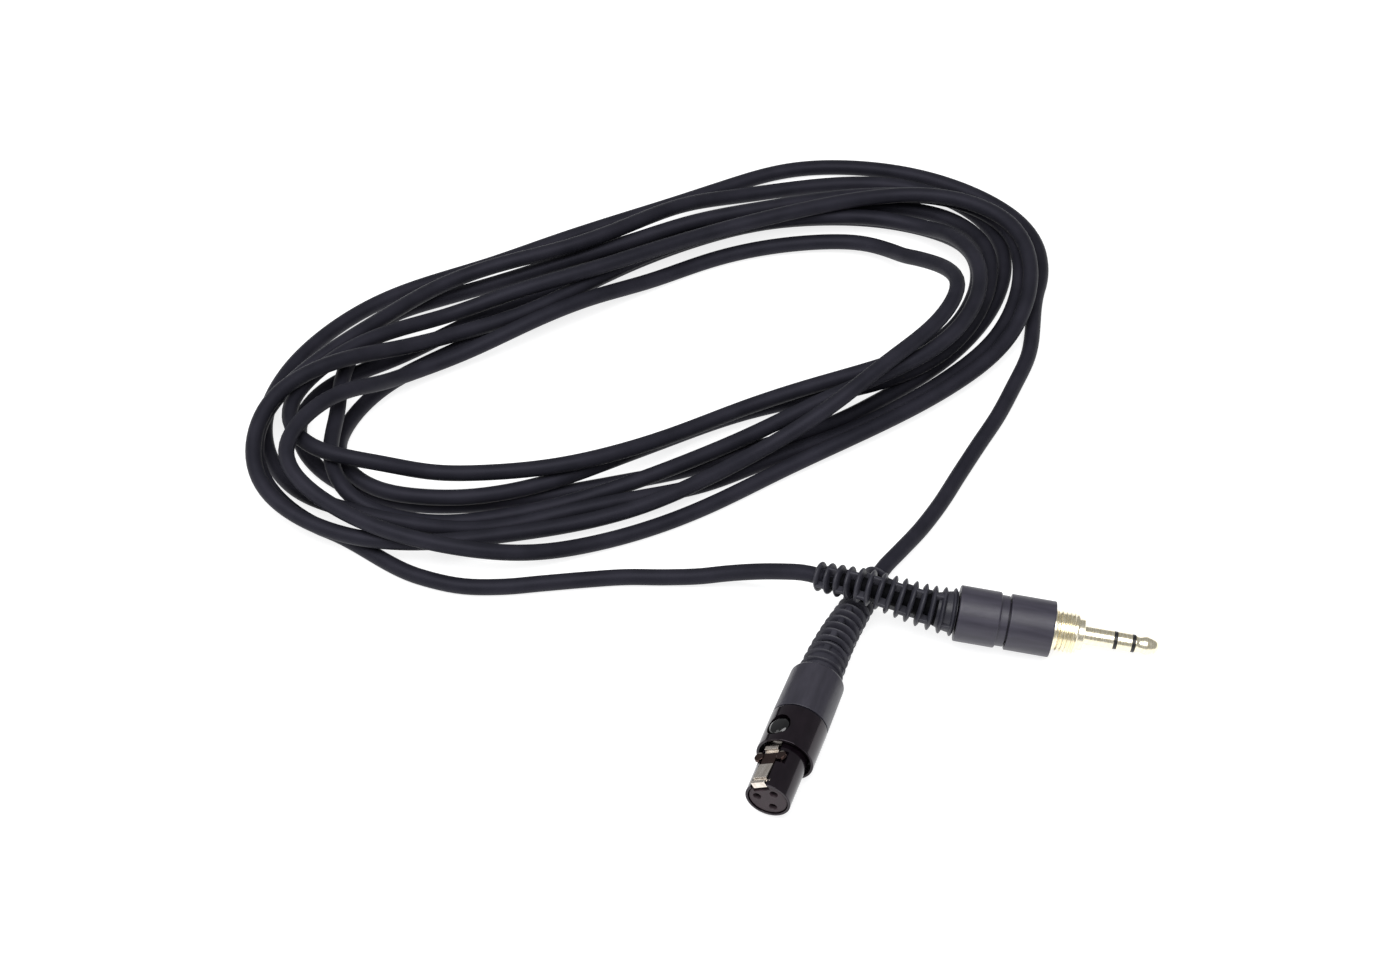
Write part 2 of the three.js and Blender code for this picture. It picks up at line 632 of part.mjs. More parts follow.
const contactPlaces = CONTACT_ANGLES.map(angle => {
  const turn = THREE.MathUtils.degToRad(angle)
  return [CONTACT_CIRCLE * Math.sin(turn), CONTACT_CIRCLE * Math.cos(turn)]
})
const INSERT_X = [12, 33.1]
const INSERT_STEP = 15.3
const INSERT_REAR_R = 3.4
const CONTACT_X = [11.2, 31.4]
const insertGroove = block([grooveFrom - 0.3, noseFront + 1],
  [-GROOVE_WIDTH / 2, GROOVE_WIDTH / 2], [GROOVE_FLOOR, NOSE_R])
const insertLugSeat = block([LUG_X - 1.4, LUG_X + 1.4], [-3.8, 3.8], [2.8, NOSE_R])
const contactHoles = contactPlaces.flatMap(([y, z]) => [
  rod(INSERT_X[0] - 1, CONTACT_X[1] + 0.3, CONTACT_R + 0.1, 12).translate(0, y, z),
  rod(CONTACT_X[1], INSERT_X[1] + 1, PIN_HOLE_R, 12).translate(0, y, z)
])
addMesh(mini.group, 'xlr_socket_insert', cut(turned([
  [INSERT_X[0], 0], [INSERT_X[0], INSERT_REAR_R], [INSERT_STEP, INSERT_REAR_R],
  [INSERT_STEP, INSERT_R], [INSERT_X[1], INSERT_R], [INSERT_X[1], 0]
], TURNED_SIDES, false), insertGroove, insertLugSeat, ...contactHoles), insertPlastic)

contactPlaces.forEach(([y, z], i) => {
  const [rear, front] = CONTACT_X
  const contact = turned([
    [rear, CONTACT_R - 0.1], [rear + 2, CONTACT_R - 0.1], [rear + 2, CONTACT_R],
    [front, CONTACT_R], [front, PIN_HOLE_R - 0.1], [rear, PIN_HOLE_R - 0.1]
  ], 12).translate(0, y, z)
  addMesh(mini.group, `xlr_contact_${i + 1}`, contact, gold)
  conductor(mini, `xlr_wire_${i + 1}`, TAIL_END.mini + 0.2, [rear - 0.2, y, z], wireInks[i])
})

// The latch: a spring strip that hangs on a cross pin near the face and runs back to the
// button. Its raised bar and its two side lugs catch the mating connector.
const LATCH_OUTLINE = [
  [17.6, LATCH_UNDER], [30.6, LATCH_UNDER], [30.6, 3], [33, 3], [33, 4.45], [32.3, 4.45],
  [32.3, 4.1], [31.8, 4.1], [31.8, 4.5], [28, 4.15], [28, 4], [24.8, 4], [24.8, 4.75],
  [23.7, 4.75], [23.5, 4], [17.6, 4]
]
const latchPinHole = crossRod(LATCH_PIN_X, latchPinZ, LATCH_WIDTH + 1, LATCH_PIN_R + 0.1, 12)
const lugs = [-1, 1].flatMap(side => {
  const reach = LATCH_WIDTH / 2 + 0.95
  const tab = block([LUG_X - 0.5, LUG_X + 0.5], side > 0 ? [1, reach] : [-reach, -1], [3.55, 4])
  const disc = upRod(LUG_X, 3.55, 4.3, LUG_R, 16).translate(0, side * reach, 0)
  return [tab, disc]
})
const latch = cut(join(plate(LATCH_OUTLINE, LATCH_WIDTH), ...lugs), latchPinHole)
addMesh(mini.group, 'xlr_latch', latch, bareSteel)
addMesh(mini.group, 'xlr_latch_pin',
  crossRod(LATCH_PIN_X, latchPinZ, GROOVE_WIDTH + 0.8, LATCH_PIN_R, 12), bareSteel)

// The release button: a cap in the shell's hole, a stem on the latch and a bar that keeps it
// in. Below it there is room for 0.8 mm of travel.
const stemUnder = 4.1
addMesh(mini.group, 'xlr_release_button', join(
  upRod(BUTTON_X, 4.7, BUTTON_TOP, BUTTON_R),
  upRod(BUTTON_X, stemUnder, 4.8, 1.2),
  block([BUTTON_X - 2.7, BUTTON_X + 2.7], [-1.25, 1.25], [4.2, 4.4])
), blackPlastic)

// The clamp that grips the jacket inside the rear sleeve, split along one side
const CLAMP = { from: 5.6, to: 8.6, outer: 3.9 }
addMesh(mini.group, 'xlr_cable_clamp', cut(
  turned([
    [CLAMP.from, CLAMP.outer], [CLAMP.to, CLAMP.outer], [CLAMP.to, BORE_R], [CLAMP.from, BORE_R]
  ], SMALL_SIDES),
  block([CLAMP.from - 1, CLAMP.to + 1], [-0.4, 0.4], [0, CLAMP.outer + 1])
), bareSteel)

// ---------------------------------------------------------------- jack
const [neckRear, neckFront] = JACK_NECK
const JACK_BORE = 3.35
const JACK_SPIGOT = { end: 12.4, radius: 3.85 } // the nut turns on it
addMesh(jack.group, 'jack_rear_barrel', turned([
  [0, JACK_R - 0.1], [0.2, JACK_R], [neckRear - 0.2, JACK_R], [neckRear, JACK_R - 0.15],
  [neckRear, JACK_NECK_R], [neckFront, JACK_NECK_R], [neckFront, JACK_SPIGOT.radius],
  [JACK_SPIGOT.end, JACK_SPIGOT.radius], [JACK_SPIGOT.end, JACK_BORE], [0, JACK_BORE]
]), blackBarrel)

// The lock nut: the front of the barrel, with the threaded collar that screws into a socket
function threadOutline (fromX, toX) {
  const outline = []
  for (let x = fromX; x + THREAD_PITCH <= toX + 1e-6; x += THREAD_PITCH) {
    outline.push([x, THREAD_R - THREAD_DEPTH], [x + THREAD_PITCH / 2, THREAD_R])
  }
  outline.push([toX, THREAD_R - THREAD_DEPTH])
  return outline
}
const [nutRear, nutFront] = NUT_X
const NUT_BORE = 3.2
const threadFrom = nutFront + 0.8
addMesh(jack.group, 'jack_lock_nut', turned([
  [nutRear, JACK_R - 0.15], [nutRear + 0.2, JACK_R], [nutFront - 0.2, JACK_R],
  [nutFront, JACK_R - 0.15], [nutFront, NUT_COLLAR.radius], [NUT_COLLAR.end, NUT_COLLAR.radius],
  [NUT_COLLAR.end, THREAD_R - THREAD_DEPTH], ...threadOutline(threadFrom, THREAD_END),
  [THREAD_END, NUT_END_R], [NUT_END, NUT_END_R],
  [NUT_END, SHANK_R + 0.3], [THREAD_END, SHANK_R + 0.3],
  [THREAD_END, NUT_BORE], [JACK_SPIGOT.end + 0.3, NUT_BORE],
  [JACK_SPIGOT.end + 0.3, JACK_SPIGOT.radius + 0.3], [nutRear, JACK_SPIGOT.radius + 0.3]
]), blackBarrel)

// The plug: nested tubes, each with its band on the shank, insulated from each other
const NEST = [1.75, 1.35, 1.3, 1.05, 1, 0.75, 0.7, 0.5, 0.45] // radii from the shank inwards
const [, sleeveBore, rearOuter, rearBore, ringOuter, ringBore, frontOuter, frontBore, rodR] = NEST
const FIT = 0.05
addMesh(jack.group, 'jack_sleeve_contact', turned([
  [7, 3.05], [12, 3.05], [12, 2.9], [THREAD_END - 0.3, 2.9], [THREAD_END - 0.3, SHANK_R],
  [SLEEVE_END, SHANK_R], [SLEEVE_END, sleeveBore], [7, sleeveBore]
], SMALL_SIDES), gold)
addMesh(jack.group, 'jack_insulator_rear', turned([
  [6.4, rearOuter], [SLEEVE_END + FIT, rearOuter], [SLEEVE_END + FIT, SHANK_R - 0.03],
  [RING_X[0] - FIT, SHANK_R - 0.03], [RING_X[0] - FIT, rearBore], [6.4, rearBore]
], SMALL_SIDES), blackPlastic)
addMesh(jack.group, 'jack_ring_contact', turned([
  [5.8, ringOuter], [RING_X[0], ringOuter], [RING_X[0], SHANK_R], [RING_X[1], SHANK_R],
  [RING_X[1], ringBore], [5.8, ringBore]
], SMALL_SIDES), gold)
addMesh(jack.group, 'jack_insulator_front', turned([
  [5.2, frontOuter], [RING_X[1] + FIT, frontOuter], [RING_X[1] + FIT, SHANK_R - 0.03],
  [TIP_X[0] - FIT, SHANK_R - 0.03], [TIP_X[0] - FIT, frontBore], [5.2, frontBore]
], SMALL_SIDES), blackPlastic)
const [tipRear, tipEnd] = TIP_X
addMesh(jack.group, 'jack_tip_contact', turned([
  [4.8, 0], [4.8, rodR], [tipRear, rodR], [tipRear, 1.6], [tipRear + 0.5, 1.3],
  [tipRear + 1, 1.25], [tipRear + 1.7, 1.7], [tipRear + 2.1, 1.75], [tipEnd - 1, 1.2],
  [tipEnd - 0.3, 0.85], [tipEnd, 0.4], [tipEnd, 0]
], SMALL_SIDES, false), gold)

const terminals = [[4.6, 0.01, 0], [5.6, 0, 1.2], [6.8, -2.2, -0.3]]
terminals.forEach((terminal, i) => {
  conductor(jack, `jack_wire_${i + 1}`, TAIL_END.jack + 0.2, terminal, wireInks[i])
})
addMesh(jack.group, 'jack_cable_clamp', cut(
  turned([[0.4, 3.1], [2.6, 3.1], [2.6, BORE_R], [0.4, BORE_R]], SMALL_SIDES),
  block([0, 3], [-0.4, 0.4], [0, 4])
), bareSteel)

export default cable
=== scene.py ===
import math

import bmesh
import bpy
import numpy as np
from mathutils import Matrix, Vector


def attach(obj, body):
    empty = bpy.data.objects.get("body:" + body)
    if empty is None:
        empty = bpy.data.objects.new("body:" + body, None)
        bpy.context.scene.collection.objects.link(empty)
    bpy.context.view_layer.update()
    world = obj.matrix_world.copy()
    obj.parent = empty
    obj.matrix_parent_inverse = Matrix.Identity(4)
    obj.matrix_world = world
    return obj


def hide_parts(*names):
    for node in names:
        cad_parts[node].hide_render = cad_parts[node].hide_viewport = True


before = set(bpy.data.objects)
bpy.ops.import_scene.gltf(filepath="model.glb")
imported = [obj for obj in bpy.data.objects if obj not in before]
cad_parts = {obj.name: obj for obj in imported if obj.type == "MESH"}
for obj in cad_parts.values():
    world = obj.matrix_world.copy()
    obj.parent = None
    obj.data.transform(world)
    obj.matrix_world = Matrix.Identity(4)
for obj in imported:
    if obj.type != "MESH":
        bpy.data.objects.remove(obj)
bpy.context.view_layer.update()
scene = bpy.context.scene

# ------------------------------------------------------------------ camera
# A long lens looks down at the cable from the front, as a product picture is taken.
SIGHT = math.radians(47.5)  # below the horizon
LOOK_AT = Vector((0.00104, -0.00292, 0))
DISTANCE = 0.795
LENS_MM, SENSOR_MM = 102.857, 36

camera = bpy.data.objects.new("camera", bpy.data.cameras.new("camera"))
scene.collection.objects.link(camera)
scene.camera = camera
camera.data.lens, camera.data.sensor_width = LENS_MM, SENSOR_MM
camera.data.clip_start, camera.data.clip_end = 0.05, 20
camera.location = LOOK_AT + DISTANCE * Vector((0, -math.cos(SIGHT), math.sin(SIGHT)))
camera.rotation_euler = (math.pi / 2 - SIGHT, 0, 0)


# ------------------------------------------------------------------ light and floor
# A pale table stands under a broad softbox in front and above, with a dimmer panel at the left
# and a white room around. The table is overexposed, so only a trace of a shadow shows on it.
def add(tree, kind, inputs=None, **settings):
    """One node of a tree. An input is a value or the socket that feeds it."""
    made = tree.nodes.new(kind)
    for key, value in settings.items():
        setattr(made, key, value)
    for key, value in (inputs or {}).items():
        if isinstance(value, bpy.types.NodeSocket):
            tree.links.new(value, made.inputs[key])
        else:
            made.inputs[key].default_value = value
    return made


def softbox(name, place, size, power):
    """A rectangular lamp that points at the middle of the cable."""
    light = bpy.data.lights.new(name, "AREA")
    light.shape, light.size, light.size_y = "RECTANGLE", *size
    light.energy = power
    lamp = bpy.data.objects.new(name, light)
    lamp.location = place
    lamp.rotation_euler = (-lamp.location).to_track_quat("-Z", "Y").to_euler()
    scene.collection.objects.link(lamp)


softbox("front_softbox", (-0.12, -0.32, 1.1), (1.1, 0.8), 14)
softbox("left_panel", (-1.0, -0.2, 0.7), (0.7, 0.7), 2.5)

scene.world = bpy.data.worlds.new("white_room")
scene.world.use_nodes = True
room_walls = scene.world.node_tree.nodes["Background"]
room_walls.inputs["Color"].default_value = (0.97, 0.98, 1, 1)
room_walls.inputs["Strength"].default_value = 0.35
scene.view_settings.view_transform = "Standard"

TABLE_HALF = 2.5
table_top = bpy.data.meshes.new("table_top")
table_top.from_pydata([(x * TABLE_HALF, y * TABLE_HALF, 0) for x, y in
                       ((-1, -1), (1, -1), (1, 1), (-1, 1))], [], [(0, 1, 2, 3)])
table = bpy.data.objects.new("table", table_top)
scene.collection.objects.link(table)
pale_board = bpy.data.materials.new("pale_board")
pale_board.use_nodes = True
tree = pale_board.node_tree
board_grain = add(tree, "ShaderNodeTexNoise", {
    "Vector": add(tree, "ShaderNodeTexCoord").outputs["Object"], "Scale": 900.0})
board_tone = add(tree, "ShaderNodeValToRGB", {"Fac": board_grain.outputs["Fac"]})
board_tone.color_ramp.elements[0].color = (0.4, 0.405, 0.41, 1)
board_tone.color_ramp.elements[1].color = (0.44, 0.44, 0.44, 1)
board_shader = tree.nodes["Principled BSDF"]
tree.links.new(board_tone.outputs["Color"], board_shader.inputs["Base Color"])
board_shader.inputs["Roughness"].default_value = 0.9
board_shader.inputs["Emission Color"].default_value = (1, 1, 1, 1)
board_shader.inputs["Emission Strength"].default_value = 0.8
table_top.materials.append(pale_board)


# ------------------------------------------------------------------ cord
# About 3 m of soft black screened cord, 3.2 mm thick, laid down by hand in a loose hank of
# seven and a half turns. Every strand lies on the table or on the strands below it. One end
# runs into the miniature connector's boot and the other into the jack's.
CORD_D = 0.0032
CORD_R = CORD_D / 2
END_R = 0.0275  # of the hank's round ends, at the middle line
RIGHT_END, LEFT_END = np.array((0.03904, 0.05008)), np.array((-0.05196, 0.00708))
LANE = 0.00375
REST = 0.0033  # least distance between two strands' centrelines
CLIMB = 1.02  # a strand that climbs over another stands this much further above it
TURN = 26  # stations in one turn, anticlockwise from the right end
CORNERS = [0, 3, 10, 16, 23, TURN]  # stations where a round end or a straight run starts
FIRST_STATION, LAST_STATION = -1, 196
# How many lanes a strand lies outside the middle line, station by station, one turn a row
LANE_ROWS = [
    [-0.75, 0.4, 1.55],
    [2.65, 2.05, 2.25, 3.5, 3.6, 3.55, 3.65, 3.65, 3.45, 3.7, 3.4, 2.65, 2.4,
     1.4, 0.5, 0.35, 0.3, 1, 1.7, 2.05, 1.65, 1.8, 1.4, 0.5, 0.15, 0.4],
    [1.1, 0.25, -0.8, -0.8, 0, 0.8, 1.05, 1.3, 2, 2.25, 1.6, -0.85, -2.3,
     -1.1, 0, -1.05, -0.75, 0.15, 0.8, 0.75, 0.45, 0.15, 0.5, 0.2, -1.1, -2.05],
    [-3, -2.65, -2.65, -2.15, -0.7, -0.45, -0.45, -1.25, -1.75, -1.5, -1.85, -1.4, 1.85,
     3.55, 2.3, 1.3, 1.15, 1.95, 2.7, 2.35, 1.65, 1.75, 0.45, -0.75, -1.95, -5.15],
    [-5.95, -5.7, -5.05, -3.6, -1.9, -1.25, -1.55, -2.2, -2.55, -2.7, -2.8, -3.65, -1.7,
     2.15, 1.25, 1.8, 3, 3.15, 3.55, 3.35, 2.75, 2.6, 2.15, 1.4, 1.15, 1.1],
    [1, -0.55, -1.6, -1.95, -1.4, -0.95, -1.15, -1.15, -0.75, 0, -0.7, -0.35, 1,
     0.05, -2.5, -3.65, -2.95, -1.15, -0.6, -1.05, -1.35, -0.95, -0.35, -0.45, -1.6, -2],
    [-2.05, -1.95, -2.05, -1.45, -0.1, 0.2, 0, -0.6, -1.25, -1.75, -2.25, -2.6, -2.25,
     -1.65, -1.7, -2.2, -1.6, -0.9, -1.1, -1.95, -2.1, -1.1, 0.1, -0.3, -1.25, -1.35],
    [-0.7, -0.4, -0.85, -0.35, 0.65, 1.15, 0.8, 0.15, 0.2, -0.35, -1.15, 0, 0.65,
     -0.75, -2.05, -2.35, -1.95, -0.9, -0.15, 0.65, 0.65, 1, 0.3, -0.55, -1.2, -0.75],
    [0.55, 1, 1.15, 1.65, 2.5, 2.65, 1.45, 1.25, 2.15, 2.2, 0.4, 0.35, 2.5,
     2.85, 1.6, 0.3, -1],
]
# Which turn lies on which, lowest first, up to each station
STACKS = [(2.6, [7, 6, 0, 1, 5, 2, 3, 4]), (8.3, [6, 5, 1, 0, 7, 2, 3, 4]),
          (20, [6, 5, 1, 0, 7, 4, 2, 3]), (TURN, [6, 5, -1, 0, 4, 1, 2, 3])]
# The innermost strand slopes down from the top of the bundle to the table
SLOPE = {76: 0.0118, 77: 0.0101, 78: 0.0081, 79: 0.006, 80: 0.0042, 81: 0.0028, 82: 0.0019}
# The stretches between the hank and the two boots, along the cord's centreline
FROM_CONNECTOR = [
    (0.03964, -0.02452, 0.00262), (0.0445, -0.01722, 0.00167), (0.0482, -0.01112, CORD_R),
    (0.05255, -0.00272, CORD_R), (0.05665, 0.00508, CORD_R), (0.06095, 0.01308, CORD_R),
    (0.06465, 0.02148, CORD_R), (0.06765, 0.02888, CORD_R),
]
TO_JACK = [
    (-0.05306, -0.02992, CORD_R), (-0.04506, -0.03222, CORD_R), (-0.03726, -0.03242, CORD_R),
    (-0.02936, -0.03152, CORD_R), (-0.02146, -0.03062, CORD_R), (-0.01346, -0.02992, CORD_R),
    (-0.00556, -0.03012, 0.00177), (0.00104, -0.03042, 0.00242), (0.00624, -0.03092, 0.00382),
    (0.01144, -0.03202, 0.0056), (0.01664, -0.03372, 0.0076),
]


def middle_line(stations):
    """Places and outward normals on the hank's middle line: two half rounds and two runs."""
    s = np.mod(stations, TURN)
    run = math.atan2(*(RIGHT_END - LEFT_END)[::-1])
    angle = run + np.interp(s, CORNERS, [0, 2, 2, 6, 6, 8]) * math.pi / 4
    share = np.interp(s, CORNERS, [0, 0, 1, 1, 0, 0])[:, None]
    normals = np.stack([np.cos(angle), np.sin(angle)], 1)
    return RIGHT_END + share * (LEFT_END - RIGHT_END) + END_R * normals, normals


def spline(values, x):
    """Smooth curve that a row of posts pulls after it: a cubic B-spline."""
    k = np.clip(np.floor(x).astype(int), 1, len(values) - 3)
    u = (x - k)[:, None]
    return ((1 - u)**3 * values[k - 1] + (3 * u**3 - 6 * u**2 + 4) * values[k]
            + (-3 * u**3 + 3 * u**2 + 3 * u + 1) * values[k + 1] + u**3 * values[k + 2]) / 6


lanes = np.array(sum(LANE_ROWS, []), float)
PER_STATION = 6
stations = np.arange(FIRST_STATION * PER_STATION, LAST_STATION * PER_STATION + 1) / PER_STATION
on_middle, outwards = middle_line(np.arange(len(lanes)) - len(LANE_ROWS[0]))
plan = spline(on_middle + outwards * LANE * lanes[:, None], stations + len(LANE_ROWS[0]))


def crossings():
    """Where two strands come closer in plan than they may: the stations of the upper and the
    lower one, and how far the upper one has to stand above the lower."""
    found = []
    for i, station in enumerate(stations):
        turn = math.floor(station / TURN)
        order = next(turns for until, turns in STACKS if station % TURN <= until)
        for other in set(order) - {turn}:
            across = i + (other - turn) * TURN * PER_STATION
            first = max(0, across - 2 * PER_STATION)
            last = min(len(plan) - 1, across + 2 * PER_STATION)
            if first >= last:
                continue
            chord = plan[first + 1:last + 1] - plan[first:last]
            reach = plan[i] - plan[first:last]
            u = np.clip((reach * chord).sum(1) / (chord**2).sum(1), 0, 1)
            apart = np.linalg.norm(reach - u[:, None] * chord, axis=1)
            k = int(apart.argmin())
            if apart[k] < REST:
                pair = station, stations[first + k] + u[k] / PER_STATION
                upper, lower = pair if order.index(turn) > order.index(other) else pair[::-1]
                found.append((upper, lower, CLIMB * math.sqrt(REST**2 - apart[k]**2)))
    return np.array(found).T


# Each strand is raised a little at a time until it clears all that lie below it
MOST_ROUNDS = 400
CLEAR = 2e-5  # overlap that may be left
LIFT_SHARE = 0.6  # of an overlap, lifted in one round
upper, lower, rise = crossings()
knots = np.full((LAST_STATION - FIRST_STATION + 3, 1), CORD_R)
for station, height in SLOPE.items():
    knots[station - FIRST_STATION + 1] = height
for _ in range(MOST_ROUNDS):
    heights = spline(knots, stations - FIRST_STATION + 1)[:, 0]
    short = np.interp(lower, stations, heights) + rise - np.interp(upper, stations, heights)
    if short.max() < CLEAR:
        break
    k = np.floor(upper - FIRST_STATION + 1).astype(int)
    lift = np.zeros(len(knots))
    np.maximum.at(lift, k, LIFT_SHARE * short)
    np.maximum.at(lift, k + 1, LIFT_SHARE * short)
    knots[:, 0] += lift
hank = np.column_stack([plan, heights])


def smooth_line(places, spacing, parts=24):
    """Evenly spaced points on one smooth curve through the places."""
    places = np.array([tuple(p) for p in places], float)
    gaps = np.linalg.norm(np.diff(places, axis=0), axis=1)
    pace = np.diff(places, axis=0) / gaps[:, None]
    slope = np.vstack([pace[:1], (pace[:-1] * gaps[1:, None] + pace[1:] * gaps[:-1, None])
                       / (gaps[1:] + gaps[:-1])[:, None], pace[-1:]])
    fine = []
    for i, gap in enumerate(gaps):
        u = np.linspace(0, 1, parts, endpoint=False)[:, None]
        fine.append((2 * u**3 - 3 * u**2 + 1) * places[i] + (u**3 - 2 * u**2 + u) * gap * slope[i]
                    + (3 * u**2 - 2 * u**3) * places[i + 1] + (u**3 - u**2) * gap * slope[i + 1])
    fine = np.vstack([*fine, places[-1:]])
    run = np.concatenate([[0], np.cumsum(np.linalg.norm(np.diff(fine, axis=0), axis=1))])
    even = np.linspace(0, run[-1], max(2, round(run[-1] / spacing) + 1))
    return np.column_stack([np.interp(even, run, fine[:, axis]) for axis in range(3)])


def axis_frame(rear, front, roll=0.0):
    """Frame whose X axis runs from rear to front and whose Z axis is the upper side."""
    along = (Vector(front) - Vector(rear)).normalized()
    side = Vector((0, 0, 1)).cross(along).normalized()
    turn = Matrix((along, side, along.cross(side))).transposed()
    return Matrix.Translation(rear) @ (turn @ Matrix.Rotation(roll, 3, "X")).to_4x4()


# The two connectors' axes, from the rear end of each housing
MINI = axis_frame((0.02424, -0.05612, 0.00556), (0.01344, -0.08762, 0.00556), math.radians(29))
JACK = axis_frame((0.04994, -0.04432, 0.00775), (0.06844, -0.04657, 0.00546))
MINI_BOOT_FROM, JACK_BOOT_FROM = 0.0029, -0.0003
BOOT_LEAD = 0.002  # each boot runs this far straight along its connector's axis
BOOT_STEP, CORD_STEP = 0.0003, 0.0016
MINI_BOOT_LINE = smooth_line(
    [MINI @ Vector((MINI_BOOT_FROM, 0, 0)), MINI @ Vector((MINI_BOOT_FROM - BOOT_LEAD, 0, 0)),
     (0.02694, -0.04862, 0.0048), (0.03074, -0.03992, 0.0035), (0.03304, -0.03532, 0.00315),
     (0.03524, -0.03132, 0.003)], BOOT_STEP)
JACK_BOOT_LINE = smooth_line(
    [JACK @ Vector((JACK_BOOT_FROM, 0, 0)), JACK @ Vector((JACK_BOOT_FROM - BOOT_LEAD, 0, 0)),
     (0.04484, -0.04355, 0.00845), (0.03914, -0.04215, 0.0096), (0.03344, -0.04042, 0.0105),
     (0.02874, -0.03877, 0.0103), (0.02404, -0.03672, 0.0096)], BOOT_STEP)


def from_boot(line, held=0.001):
    """Where the cord is held in a boot's thin end, and where it runs straight out of it."""
    out = line[-1] - line[-2]
    out /= np.linalg.norm(out)
    return [line[-1] - held * out, line[-1], line[-1] + CORD_D * out]


centreline = smooth_line([*from_boot(MINI_BOOT_LINE), *FROM_CONNECTOR, *hank,
                          *TO_JACK, *reversed(from_boot(JACK_BOOT_LINE))], CORD_STEP)


def carried_frames(line):
    """A side and an upper direction at every point of a line, carried along without twist."""
    ways = np.gradient(line, axis=0)
    ways /= np.linalg.norm(ways, axis=1)[:, None]
    side = np.cross((0, 0, 1), ways[0])
    sides = []
    for way in ways:
        side = side - way * (side @ way)
        side /= np.linalg.norm(side)
        sides.append(side)
    sides = np.array(sides)
    return sides, np.cross(ways, sides)


def piece(name, mesh, material, body, slot, *nodes):
    """A finished piece: its mesh, its finish unless the mesh has its own, the body it rides on
    and the nodes it replaces."""
    made = bpy.data.objects.new(name, mesh)
    scene.collection.objects.link(made)
    if material:
        mesh.materials.clear()
        mesh.materials.append(material)
    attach(made, body)
    if nodes:
        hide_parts(*nodes)
    return made


def cord_mesh(line, radius, sides):
    """A closed round tube with a UV map in metres: round the jacket, and along the cord."""
    side, upper = carried_frames(line)
    angles = np.linspace(0, 2 * math.pi, sides, endpoint=False)
    ring = np.cos(angles)[:, None] * side[:, None] + np.sin(angles)[:, None] * upper[:, None]
    points = (line[:, None] + radius * ring).reshape(-1, 3)
    faces = []
    for i in range(len(line) - 1):
        for j in range(sides):
            k = (j + 1) % sides
            faces.append((i * sides + j, i * sides + k, (i + 1) * sides + k, (i + 1) * sides + j))
    faces.append(tuple(reversed(range(sides))))
    faces.append(tuple(range((len(line) - 1) * sides, len(line) * sides)))
    mesh = bpy.data.meshes.new("cord")
    mesh.from_pydata([tuple(p) for p in points], [], faces)
    spacing = float(np.linalg.norm(line[1] - line[0]))
    uv = mesh.uv_layers.new(name="jacket")
    around = 2 * math.pi * radius / sides
    for polygon in mesh.polygons:
        i, j = divmod(polygon.index, sides)
        corners = ((j, i), (j + 1, i), (j + 1, i + 1), (j, i + 1))
        for loop, corner in zip(polygon.loop_indices, corners):
            uv.data[loop].uv = (corner[0] * around, corner[1] * spacing)
    mesh.polygons.foreach_set("use_smooth", [len(p.vertices) == 4 for p in mesh.polygons])
    return mesh


# Soft PVC, extruded over three twisted cores: satin charcoal, a little uneven in gloss, with
# a fine grain and the faintest trace of the cores' lay under it
jacket = bpy.data.materials.new("charcoal_pvc_jacket")
jacket.use_nodes = True
tree = jacket.node_tree
where = add(tree, "ShaderNodeUVMap", uv_map="jacket").outputs["UV"]
room = add(tree, "ShaderNodeTexCoord").outputs["Object"]
patches = add(tree, "ShaderNodeTexNoise", {"Vector": room, "Scale": 140.0, "Detail": 3.0})
grain = add(tree, "ShaderNodeTexNoise", {"Vector": where, "Scale": 4200.0, "Detail": 2.0})
lay = add(tree, "ShaderNodeTexWave", {"Vector": add(tree, "ShaderNodeMapping", {
    "Vector": where, "Rotation": (0, 0, math.radians(28))}).outputs["Vector"],
    "Scale": 60.0, "Distortion": 1.5, "Detail": 1.0}, wave_type="BANDS", bands_direction="X")
tone = add(tree, "ShaderNodeValToRGB", {"Fac": patches.outputs["Fac"]})
darker, lighter = tone.color_ramp.elements
darker.position, darker.color = 0.35, (0.0115, 0.0115, 0.016, 1)
lighter.position, lighter.color = 0.7, (0.0185, 0.018, 0.025, 1)
gloss = add(tree, "ShaderNodeMapRange", {
    "Value": patches.outputs["Fac"], "To Min": 0.45, "To Max": 0.6})
fine = add(tree, "ShaderNodeBump", {
    "Height": grain.outputs["Fac"], "Strength": 0.25, "Distance": 0.00005})
laid = add(tree, "ShaderNodeBump", {
    "Height": lay.outputs["Fac"], "Strength": 0.12, "Distance": 0.0001,
    "Normal": fine.outputs["Normal"]})
shader = tree.nodes["Principled BSDF"]
tree.links.new(tone.outputs["Color"], shader.inputs["Base Color"])
tree.links.new(gloss.outputs["Result"], shader.inputs["Roughness"])
tree.links.new(laid.outputs["Normal"], shader.inputs["Normal"])
shader.inputs["Specular IOR Level"].default_value = 0.14
shader.inputs["Specular Tint"].default_value = (0.82, 0.8, 1, 1)

cord = piece("cord", cord_mesh(centreline, CORD_R, sides=20), jacket, "cable", "cord_jacket",
             "cord_coil", "cord_to_xlr", "cord_to_jack")


# ------------------------------------------------------------------ boots
# A strain relief moulded in soft black rubber on each end of the cord: thin fins with slots
# between them, shallow ones near the housing and deep ones towards the cord. Bars join the
# fins, in turn at the sides and at the top and bottom, so that the boot bends both ways.
def maths(tree, operation, *values):
    """The result of one sum in a tree."""
    return add(tree, "ShaderNodeMath", dict(enumerate(values)), operation=operation).outputs["Value"]


